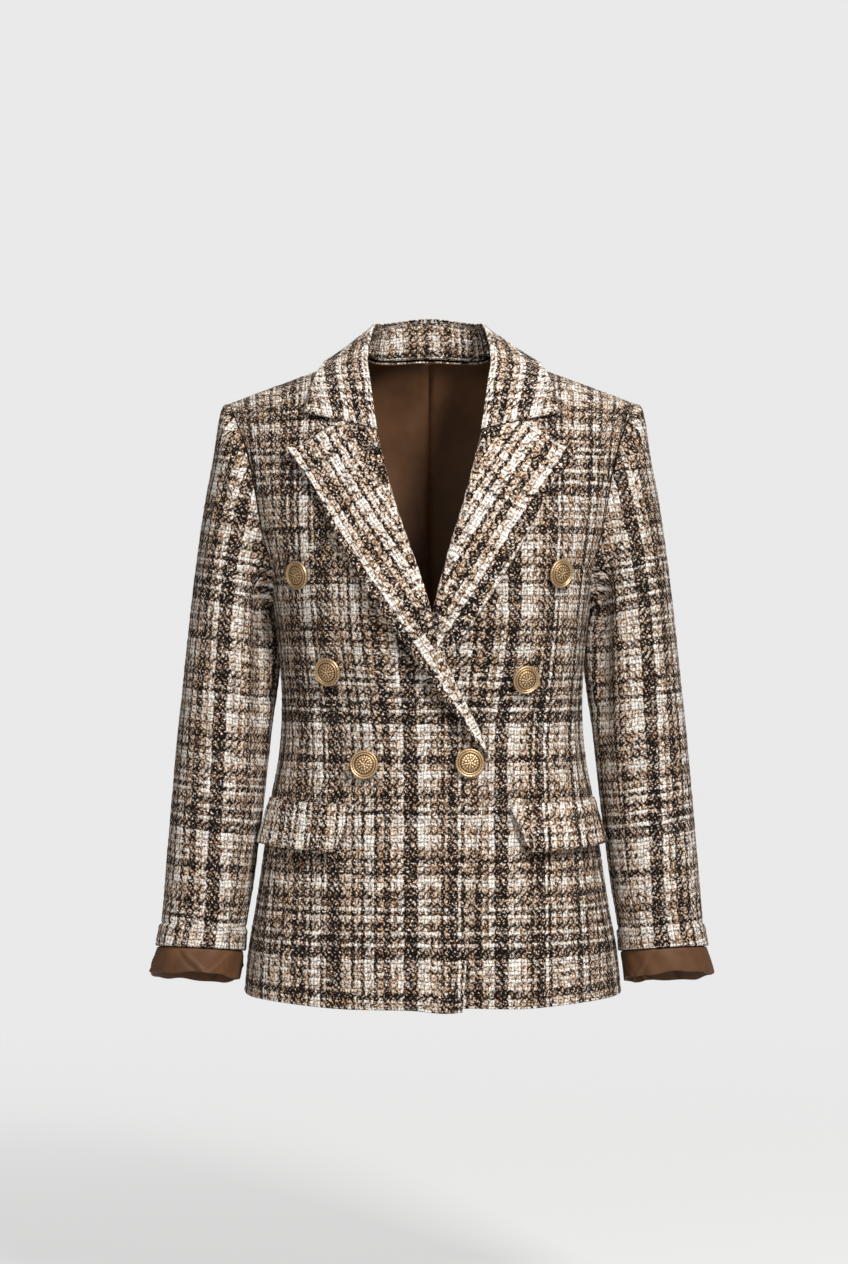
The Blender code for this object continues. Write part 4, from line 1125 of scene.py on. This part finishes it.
def tweed(name, raised=0.9, weft_share=0.55, paler=0.0):
    """Boucle tweed in plain weave: fuzzy yarns, thick and thin, whose loops stand up as nubs."""
    sizes = bpy.context.scene.jacket_cloth
    bench = Bench(name)
    place = bench.vector("SCALE", bench.add("ShaderNodeUVMap", uv_map="Grain"), 1 / MM)
    moved = place
    for scale, reach in YARN_DRIFTS:
        drift = bench.vector("SUBTRACT", bench.speckle(place, scale, 1.0, output="Color"), (0.5, 0.5, 0.5))
        moved = bench.vector("ADD", moved, bench.vector("SCALE", drift, reach))
    moved = bench.parts("ShaderNodeSeparateXYZ", moved)
    across, down = moved[0] / (sizes.warp_pitch / MM), moved[1] / (sizes.weft_pitch / MM)
    end, pick = bench.math("FLOOR", across), bench.math("FLOOR", down)
    on_top = bench.math("FLOORED_MODULO", end + pick, 2.0)
    luck = bench.parts("ShaderNodeSeparateColor", bench.chance(end, pick, output="Color"))
    # the curl of two yarns round two others: a dark ring with a pale eye
    halves = [way * 0.5 for way in (across, down)]
    reach = bench.length(bench.joined(*(bench.math("FRACT", way) - 0.5 for way in halves)))
    thick = bench.chance(*(bench.math("FLOOR", way) for way in halves), 7.0)
    ring = bench.ranged(reach, 0.12, 0.25) * bench.ranged(reach, 0.52, 0.34)
    eye = bench.ranged(reach, 0.22, 0.06)
    # the loop's form: an oval that runs over the edge of its square along its own yarn
    u = (bench.math("FRACT", across) - 0.5) / bench.between(on_top, LOOP_LONG, LOOP_SHORT)
    v = (bench.math("FRACT", down) - 0.5) / bench.between(on_top, LOOP_SHORT, LOOP_LONG)
    loop = bench.ranged(u * u + v * v, 1.25, 0.30)
    # both yarns show beside the loop, and mostly one on it
    warp = yarn(bench, WARP, end, place, (0.36, 0.030, 1.0))
    weft = yarn(bench, WEFT, pick, place, (0.034, 0.30, 1.0))
    both = bench.mixed(0.34, bench.mixed(weft_share, warp, weft), warp, "DARKEN")
    look = bench.mixed(loop * 0.42, both, bench.mixed(on_top, weft, warp))
    light, warmth, _ = bench.parts("ShaderNodeSeparateColor", look)
    fibre = bench.speckle(place, 0.74, 2.0, 0.75)
    # the loop term is painted shade: lighter in each loop's middle, darker towards the gaps between the loops
    tone = light + (luck[1] - 0.5) * 0.34 + (fibre - 0.5) * 1.15 + (loop - 0.55) * 0.30
    fleck = bench.ranged(bench.speckle(bench.vector("ADD", place, (7.0, 43.0, 0.0)), 0.50), 0.58, 0.70)
    tone = tone + fleck * bench.ranged(light, 0.65, 0.3) * 0.52
    tone = tone - ring * bench.ranged(thick, 0.0, 1.0, 0.55, 1.40) * bench.ranged(light, 1.0, 0.50, 0.26, 0.42)
    tone = tone + eye * bench.ranged(light, 0.8, 0.3, 0.06, 0.36) + paler
    tint = bench.speckle(bench.vector("ADD", place, (31.0, 17.0, 0.0)), 0.55, 1.0)
    warmth = bench.ranged(warmth + (luck[0] - 0.5) * 0.7 + (tint - 0.5) * 1.6, 0.1, 0.9, smooth=False)
    plain = bench.ramp(tone, [(0.19, sizes.dark), (0.37, sizes.slate), (0.57, sizes.grey), (0.97, sizes.white)])
    warm = bench.ramp(
        tone,
        [(0.19, sizes.dark), (0.34, sizes.brown), (0.49, sizes.camel), (0.67, sizes.ecru), (0.98, sizes.white)],
    )
    # painted shade and highlight: the colour is darkened in the gaps between the loops and lightened on their tops,
    # unevenly along the fibres
    shade = bench.ranged(loop + (fibre - 0.5), 0.0, 0.8, 0.70, 1.10)
    return bench.done({
        "Base Color": bench.vector("SCALE", bench.mixed(warmth, plain, warm), shade),
        "Roughness": 0.92,
        "Specular IOR Level": 0.08,
        "Sheen Weight": 0.02,
        "Sheen Roughness": 0.5,
        "Sheen Tint": (1.0, 0.95, 0.88, 1.0),
        "Normal": bench.bump(loop + (fibre - 0.5) * 2.2, raised, sizes.loop_height),
    })


def satin(name):
    """Brown satin, woven fine, which shines a little along its folds."""
    sizes = bpy.context.scene.jacket_lining
    bench = Bench(name)
    place = bench.add("ShaderNodeTexCoord", output="Object")
    cloud = bench.speckle(place, 24.0, 3.0, 0.6)
    fine = bench.add("ShaderNodeMapping", {"Vector": place, "Scale": (2600.0, 2600.0, 900.0)})
    height = bench.speckle(fine, 1.0, 1.0) * 0.25 + bench.speckle(place, 60.0, 2.0, 0.6) * 1.6
    return bench.done({
        # painted light and shade: the colour runs in noise patches from the deep brown to the bright brown
        "Base Color": bench.mixed(bench.ranged(cloud, 0.1, 0.9), (*sizes.deep, 1), (*sizes.bright, 1)),
        "Roughness": bench.ranged(cloud, 0.3, 0.7, 0.48, 0.58),
        "Specular IOR Level": 0.16,
        "Sheen Weight": 0.02,
        "Sheen Tint": (1.0, 0.75, 0.5, 1.0),
        "Normal": bench.bump(height, 0.35, 0.0006),
    })


def gilt(name):
    """Antiqued gold: bright where hands rub it, brown in the hollows of the relief."""
    sizes = bpy.context.scene.jacket_button
    bench = Bench(name)
    grime = bench.speckle(bench.add("ShaderNodeTexCoord", output="Object"), 900.0, 3.0, 0.65)
    worn = bench.add("ShaderNodeAttribute", output="Fac", attribute_name="Relief") + (grime - 0.5) * 0.7
    return bench.done({
        "Base Color": bench.ramp(worn, [(0.12, sizes.hollow), (0.42, sizes.gold), (0.85, sizes.rubbed)]),
        "Metallic": 0.9,
        "Roughness": bench.ranged(worn, 0.1, 0.9, 0.55, 0.38),
        "Normal": bench.bump(grime, 0.3, 0.0002),
    })


def pale_paper(name):
    """Pale paper, partly lit from within, that fades into the air round it."""
    stage = bpy.context.scene.jacket_stage
    bench = Bench(name)
    place = bench.vector("MULTIPLY", bench.add("ShaderNodeTexCoord", output="Object"), (1, 1, 0))
    fade = bench.ranged(bench.length(place), 0.5, 2.4)
    bench.done({
        "Base Color": (*(FLOOR_LIT * part for part in stage.pale), 1),
        "Emission Color": (*stage.pale, 1),
        "Emission Strength": FLOOR_GLOW,
        "Roughness": 0.9,
    })
    clear = bench.add("ShaderNodeBsdfTransparent")
    blend = bench.add("ShaderNodeMixShader", {0: fade, 1: Wire(bench, bench.shader.outputs[0]), 2: clear})
    bench.put(bench.tree.nodes["Material Output"].inputs["Surface"], blend)
    return bench.material


def finish(name, make, *arguments):
    """The material of this name, made the first time that it is asked for."""
    found = bpy.data.materials.get(name)
    return found or make(name, *arguments)


def body_tweed():
    return finish("boucle_tweed", tweed)


def pressed_tweed():
    return finish("boucle_tweed_pressed", tweed, 0.75, 0.36, 0.05)


def body_lining():
    return finish("brown_satin", satin)


# What a user would change


def colour(name, description, default):
    return FloatVectorProperty(
        name=name, description=description, default=default, size=3, min=0.0, max=1.0, subtype="COLOR"
    )


def length(name, description, default, low, high):
    return FloatProperty(
        name=name, description=description, default=default, min=low, max=high, precision=5, unit="LENGTH",
        subtype="DISTANCE",
    )


class JacketCloth(bpy.types.PropertyGroup):
    """Sizes and yarn colours of the tweed"""

    warp_pitch: length("Warp pitch", "Distance between two lengthwise yarns", WARP_PITCH * MM, 0.001, 0.01)
    weft_pitch: length("Weft pitch", "Distance between two crosswise yarns", WEFT_PITCH * MM, 0.001, 0.01)
    loop_height: length("Loop height", "How far the yarns' loops stand up", 0.0011, 0.0, 0.004)
    nub: length("Nubs", "Unevenness of the cloth's face, seen along its outline", 0.00055, 0.0, 0.002)
    white: colour("White", "The white slub yarn", (0.91, 0.87, 0.82))
    ecru: colour("Ecru", "The ecru yarn", (0.63, 0.475, 0.345))
    camel: colour("Camel", "The camel yarn", (0.355, 0.190, 0.092))
    brown: colour("Brown", "The brown yarn", (0.075, 0.038, 0.020))
    dark: colour("Dark", "The darkest yarn", (0.006, 0.0045, 0.004))
    slate: colour("Slate", "Dark yarn with a few pale fibres", (0.045, 0.041, 0.040))
    grey: colour("Grey", "Dark and white fibres twisted together", (0.25, 0.215, 0.195))


class JacketLining(bpy.types.PropertyGroup):
    """Colours and waves of the satin lining"""

    deep: colour("Deep brown", "The satin turned away from the light", (0.068, 0.030, 0.0135))
    bright: colour("Bright brown", "The satin turned to the light", (0.128, 0.060, 0.028))
    pucker: length("Pucker", "Depth of the waves in the turned-down lining", 0.0009, 0.0, 0.003)


class JacketButton(bpy.types.PropertyGroup):
    """Finish of the turned buttons"""

    facets: IntProperty(
        name="Facets", description="Steps in which a button is turned", default=72, min=24, max=128,
    )
    relief: length("Relief", "Height of the leaf relief", 0.00065, 0.0, 0.001)
    gold: colour("Gold", "The gilding", (0.44, 0.285, 0.145))
    rubbed: colour("Rubbed gold", "The gilding on the highest places", (0.80, 0.60, 0.37))
    hollow: colour("Hollows", "The antiquing in the relief", (0.10, 0.055, 0.025))


class JacketStage(bpy.types.PropertyGroup):
    """The plain studio that the jacket is shown in"""

    distance: length("Camera distance", "From the camera to the jacket's middle plane", 3.0, 1.0, 10.0)
    air: FloatProperty(
        name="Air light", description="Share of the backdrop's brightness that lights the jacket",
        default=0.29, min=0.0, max=2.0, subtype="FACTOR",
    )
    pale: colour("Backdrop", "Colour of the floor and of the air behind it", (0.82, 0.82, 0.82))


# Operators, a piece or a group of like pieces each


class JACKET_OT_stage(bpy.types.Operator):
    """Sets the camera, the lights and the pale floor"""

    bl_idname = "jacket.stage"
    bl_label = "Stage"

    def execute(self, context):
        scene = context.scene
        stage = scene.jacket_stage
        data = bpy.data.cameras.new("jacket_camera")
        data.sensor_width = 36.0
        data.lens = data.sensor_width * stage.distance / PICTURE_HEIGHT
        camera = bpy.data.objects.new("jacket_camera", data)
        camera.location = (CAMERA_X, -stage.distance, CAMERA_Z)
        camera.rotation_euler = (math.pi / 2, 0, 0)
        scene.collection.objects.link(camera)
        scene.camera = camera
        scene.world = self.air(stage)
        scene.view_settings.view_transform = "Standard"
        for lamp in LAMPS:
            data = bpy.data.lights.new(lamp.name, "AREA")
            data.size, data.energy, data.color = lamp.size, lamp.energy, LAMP_COLOUR
            light = bpy.data.objects.new(lamp.name, data)
            light.location = (lamp.x, lamp.y, lamp.z)
            light.rotation_euler = (Vector(LIT_PLACE) - light.location).to_track_quat("-Z", "Y").to_euler()
            scene.collection.objects.link(light)
        mesh = bmesh.new()
        bmesh.ops.create_circle(mesh, cap_ends=True, segments=96, radius=FLOOR_RADIUS)
        bmesh.ops.translate(mesh, verts=mesh.verts[:], vec=(0, 0, FLOOR_Z))
        new_object("studio_floor", mesh, pale_paper("pale_floor"))
        return {"FINISHED"}

    def air(self, stage):
        """A world whose brightness is the backdrop's to the camera, and a share of it to the jacket."""
        world = bpy.data.worlds.new("studio_air")
        world.use_nodes = True
        tree = world.node_tree
        seen, lighting = tree.nodes["Background"], tree.nodes.new("ShaderNodeBackground")
        for background, strength in ((seen, 1.0), (lighting, stage.air)):
            background.inputs["Color"].default_value = (*stage.pale, 1)
            background.inputs["Strength"].default_value = strength
        rays, blend = tree.nodes.new("ShaderNodeLightPath"), tree.nodes.new("ShaderNodeMixShader")
        tree.links.new(rays.outputs["Is Camera Ray"], blend.inputs[0])
        tree.links.new(lighting.outputs[0], blend.inputs[1])
        tree.links.new(seen.outputs[0], blend.inputs[2])
        tree.links.new(blend.outputs[0], tree.nodes["World Output"].inputs["Surface"])
        return world


def make_panels(part, sheet_of, phases):
    """A pair of the body's panels, with their folds and the hem's waves and line."""
    for side, phase in zip(SIDES, phases):
        sheet = hem_waves(folded(sheet_of(side), BODY_FOLDS, side), phase)
        sheet = hem_line(sheet, side if part == "front" else None)
        faced = up_columns(sheet.points) < HEM_TURN_UP
        if part == "front":
            run = along_rows(sheet.points)
            faced |= run[:, -1:] - run < FACING
        make_cloth(part, sheet, side, faced)
    return {"FINISHED"}


class JACKET_OT_fronts(bpy.types.Operator):
    """Makes the two fronts"""

    bl_idname = "jacket.fronts"
    bl_label = "Fronts"

    def execute(self, context):
        return make_panels("front", front_sheet, (0.4, 1.9))


class JACKET_OT_backs(bpy.types.Operator):
    """Makes the two halves of the back"""

    bl_idname = "jacket.backs"
    bl_label = "Backs"

    def execute(self, context):
        return make_panels("back", back_sheet, (0.8, 2.3))


class JACKET_OT_sides(bpy.types.Operator):
    """Makes the two side panels"""

    bl_idname = "jacket.sides"
    bl_label = "Side panels"

    def execute(self, context):
        return make_panels("side", side_sheet, (0.6, 2.1))


class JACKET_OT_sleeves(bpy.types.Operator):
    """Makes the top and under pieces of both sleeves"""

    bl_idname = "jacket.sleeves"
    bl_label = "Sleeves"

    def execute(self, context):
        front_seam, back_seam = SLEEVE_SEAMS
        for side, folds in zip(SIDES, (RIGHT_SLEEVE_FOLDS, LEFT_SLEEVE_FOLDS)):
            for part, first, last, columns in (
                ("sleeve_top", back_seam, front_seam, 74),
                ("sleeve_under", front_seam, 360 + back_seam, 34),
            ):
                sheet = folded(sleeve_sheet(side, first, last, columns), folds + UNDERARM_FOLDS, side)
                faced = up_columns(sheet.points[::-1])[::-1] < CUFF_TURN_UP
                make_cloth(part, sheet, side, faced, SLEEVE_GAP)
        return {"FINISHED"}


class JACKET_OT_lapels(bpy.types.Operator):
    """Makes the two peak lapels"""

    bl_idname = "jacket.lapels"
    bl_label = "Lapels"

    def execute(self, context):
        for side in SIDES:
            make_cloth("lapel", lapel_sheet(side), side)
        return {"FINISHED"}


class JACKET_OT_collar(bpy.types.Operator):
    """Makes the collar's fall and its stand"""

    bl_idname = "jacket.collar"
    bl_label = "Collar"

    def execute(self, context):
        make_cloth("collar_fall", fall_sheet())
        make_cloth("collar_stand", stand_sheet())
        return {"FINISHED"}


class JACKET_OT_flaps(bpy.types.Operator):
    """Makes the two pocket flaps"""

    bl_idname = "jacket.flaps"
    bl_label = "Pocket flaps"

    def execute(self, context):
        for side in SIDES:
            make_cloth("flap", flap_sheet(side), side)
        return {"FINISHED"}


class JACKET_OT_cuff_linings(bpy.types.Operator):
    """Makes the stretch of lining that shows below each cuff"""

    bl_idname = "jacket.cuff_linings"
    bl_label = "Cuff linings"

    def execute(self, context):
        pucker = context.scene.jacket_lining.pucker / MM
        cuff = SLEEVE[-1].along
        at, around = np.meshgrid(np.linspace(0, LINING_FACES[-1].at, 56), np.linspace(0, 360, 181), indexing="ij")
        _, past, out = read(LINING_FACES, at)
        angle = np.radians(around)
        for side, phase in zip(SIDES, (0.4, 2.2)):
            held = np.minimum(cuff + np.minimum(past, 0.0) / LAST_SECTION, cuff - 0.02)
            point, normal = outward(sleeve, around, held, 1.0, 0.02)
            down = unit(sleeve(around, cuff) - sleeve(around, cuff - 0.5))
            longer = 1 - LINING_SLANT * np.sin(angle)
            below = sleeve(around, cuff) + down * (past * longer)[..., None]
            point = np.where((past > 0)[..., None], below, point)
            share = smooth_step(past / CUFF_SHOWS)
            waves = 0.6 * np.sin(7 * angle + phase) + 0.5 * np.sin(13 * angle + 2.1 * phase + 0.10 * past)
            for at_turn, slope, width, height in CREASES:
                turned = (around - at_turn - slope * past + 180 * phase) % 360 - 180
                waves += height * np.exp(-((turned / width) ** 2))
            lift = out - CLOTH + pucker * waves * smooth_step((past + 2) / 12)
            point = off(point, normal, lift)
            point[..., 0] += LINING_SHIFT * share
            point[..., 2] += (1.0 * np.sin(4 * angle + phase) + 0.6 * np.sin(9 * angle)) * share
            self.band("cuff_lining_" + side, placed(point, side, "left"), side)
        return {"FINISHED"}

    def band(self, name, points, side):
        """A closed band: a grid bent round the wrist, its ends and its two long edges then joined."""
        rows, columns = points.shape[0] - 1, points.shape[1] - 1
        points[:, -1] = points[:, 0]
        mesh = bmesh.new()
        bmesh.ops.create_grid(mesh, x_segments=columns, y_segments=rows, size=1.0)
        for vertex in mesh.verts:
            j = round((vertex.co.x + 1) / 2 * columns)
            i = round((vertex.co.y + 1) / 2 * rows)
            vertex.co = points[i, j] * MM
        bmesh.ops.remove_doubles(mesh, verts=mesh.verts[:], dist=1e-6)
        rims_left = [edge for edge in mesh.edges if edge.is_boundary]
        bmesh.ops.bridge_loops(mesh, edges=rims_left)
        bmesh.ops.recalc_face_normals(mesh, faces=mesh.faces[:])
        piece = new_object(name, mesh, body_lining())
        piece.data.shade_smooth()
        half = points[: rows // 2 + 1]
        declare_cloth(piece, "lining_cuff_" + side, half)


class JACKET_OT_buttons(bpy.types.Operator):
    """Turns the six buttons and sets each in its place"""

    bl_idname = "jacket.buttons"
    bl_label = "Buttons"

    def execute(self, context):
        sizes = context.scene.jacket_button
        material = finish("antique_gold", gilt)
        for spec in BUTTONS:
            mesh = bmesh.new()
            _, radii, heights = read(BUTTON_OUTLINE, np.linspace(0, BUTTON_OUTLINE[-1].step, 53))
            radii[0], radii[radii < 0] = 0.0, 0.0
            verts = [mesh.verts.new((r * MM, 0, h * MM)) for r, h in zip(radii, heights)]
            edges = [mesh.edges.new(pair) for pair in zip(verts, verts[1:])]
            bmesh.ops.spin(
                mesh, geom=verts + edges, axis=(0, 0, 1), cent=(0, 0, 0), steps=sizes.facets,
                angle=math.tau, use_merge=True,
            )
            bmesh.ops.remove_doubles(mesh, verts=mesh.verts[:], dist=1e-6)
            foot_rim = [edge for edge in mesh.edges if edge.is_boundary]
            bmesh.ops.holes_fill(mesh, edges=foot_rim, sides=0)
            bmesh.ops.recalc_face_normals(mesh, faces=mesh.faces[:])
            reliefs = [self.relief(vertex.co / MM) for vertex in mesh.verts]
            for vertex, relief in zip(mesh.verts, reliefs):
                if vertex.co.z > FACE_Z * MM:
                    vertex.co.z += (relief - 0.5) * sizes.relief
            piece = new_object("button_%d_turned" % spec.number, mesh, material)
            piece.data.attributes.new("Relief", "FLOAT", "POINT").data.foreach_set("value", reliefs)
            piece.data.shade_smooth()
            piece.data.transform(self.place(spec))
            declare(piece, "button_%d" % spec.number)
        return {"FINISHED"}

    def relief(self, place):
        """0 in the hollows and 1 on the ridges: a rosette of three rows of leaves, inside a corded rim."""
        radius, angle = math.hypot(place.x, place.y), math.atan2(place.y, place.x)
        if place.z < FACE_Z:
            return 0.35
        if radius > CORD_RADIUS:
            return 0.55 + 0.2 * math.sin(44 * angle + radius)
        if radius > 9.2:
            return 0.55 if 9.5 < radius < 10.9 else 0.12
        leaves = 0.0
        for count, start, end in LEAF_ROWS:
            along = min(max((radius - start) / (end - start), 0.0), 1.0)
            leaves += (0.45 + 0.55 * math.cos(count * angle + start)) * math.sin(along * math.pi)
        return 0.12 + 0.8 * min(leaves, 1.0) if radius > 0.9 else 0.8

    def place(self, spec):
        x = spec.across if spec.side == "right" else -spec.across
        foot, normal = on_front(np.array([x], float), np.array([spec.height]), SEAM, spec.side)
        turn = Vector((0, 0, 1)).rotation_difference(Vector(normal[0])).to_matrix().to_4x4()
        turn.translation = Vector(foot[0]) * MM
        return turn


class JACKET_PT_sidebar(bpy.types.Panel):
    """Lists the jacket's pieces in the sidebar"""

    bl_idname = "JACKET_PT_sidebar"
    bl_label = "Worn Tweed Jacket"
    bl_space_type = "VIEW_3D"
    bl_region_type = "UI"
    bl_category = "Jacket"

    def draw(self, context):
        scene = context.scene
        for group in (scene.jacket_cloth, scene.jacket_lining, scene.jacket_button, scene.jacket_stage):
            box = self.layout.box()
            for key in group.bl_rna.properties.keys():
                if key not in ("rna_type", "name"):
                    box.prop(group, key)
        for operator in OPERATORS:
            self.layout.operator(operator.bl_idname)


OPERATORS = (
    JACKET_OT_stage,
    JACKET_OT_fronts,
    JACKET_OT_backs,
    JACKET_OT_sides,
    JACKET_OT_sleeves,
    JACKET_OT_lapels,
    JACKET_OT_collar,
    JACKET_OT_flaps,
    JACKET_OT_cuff_linings,
    JACKET_OT_buttons,
)
GROUPS = {
    "jacket_cloth": JacketCloth,
    "jacket_lining": JacketLining,
    "jacket_button": JacketButton,
    "jacket_stage": JacketStage,
}


def register():
    for item in (*GROUPS.values(), *OPERATORS, JACKET_PT_sidebar):
        bpy.utils.register_class(item)
    for name, group in GROUPS.items():
        setattr(bpy.types.Scene, name, PointerProperty(type=group))


def unregister():
    for name in GROUPS:
        delattr(bpy.types.Scene, name)
    for item in (JACKET_PT_sidebar, *reversed(OPERATORS), *GROUPS.values()):
        bpy.utils.unregister_class(item)


def main():
    register()
    bpy.ops.jacket.stage()
    bpy.ops.jacket.fronts()
    bpy.ops.jacket.backs()
    bpy.ops.jacket.sides()
    bpy.ops.jacket.sleeves()
    bpy.ops.jacket.lapels()
    bpy.ops.jacket.collar()
    bpy.ops.jacket.flaps()
    bpy.ops.jacket.cuff_linings()
    bpy.ops.jacket.buttons()
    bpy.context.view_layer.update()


if __name__ == "__main__":
    main()
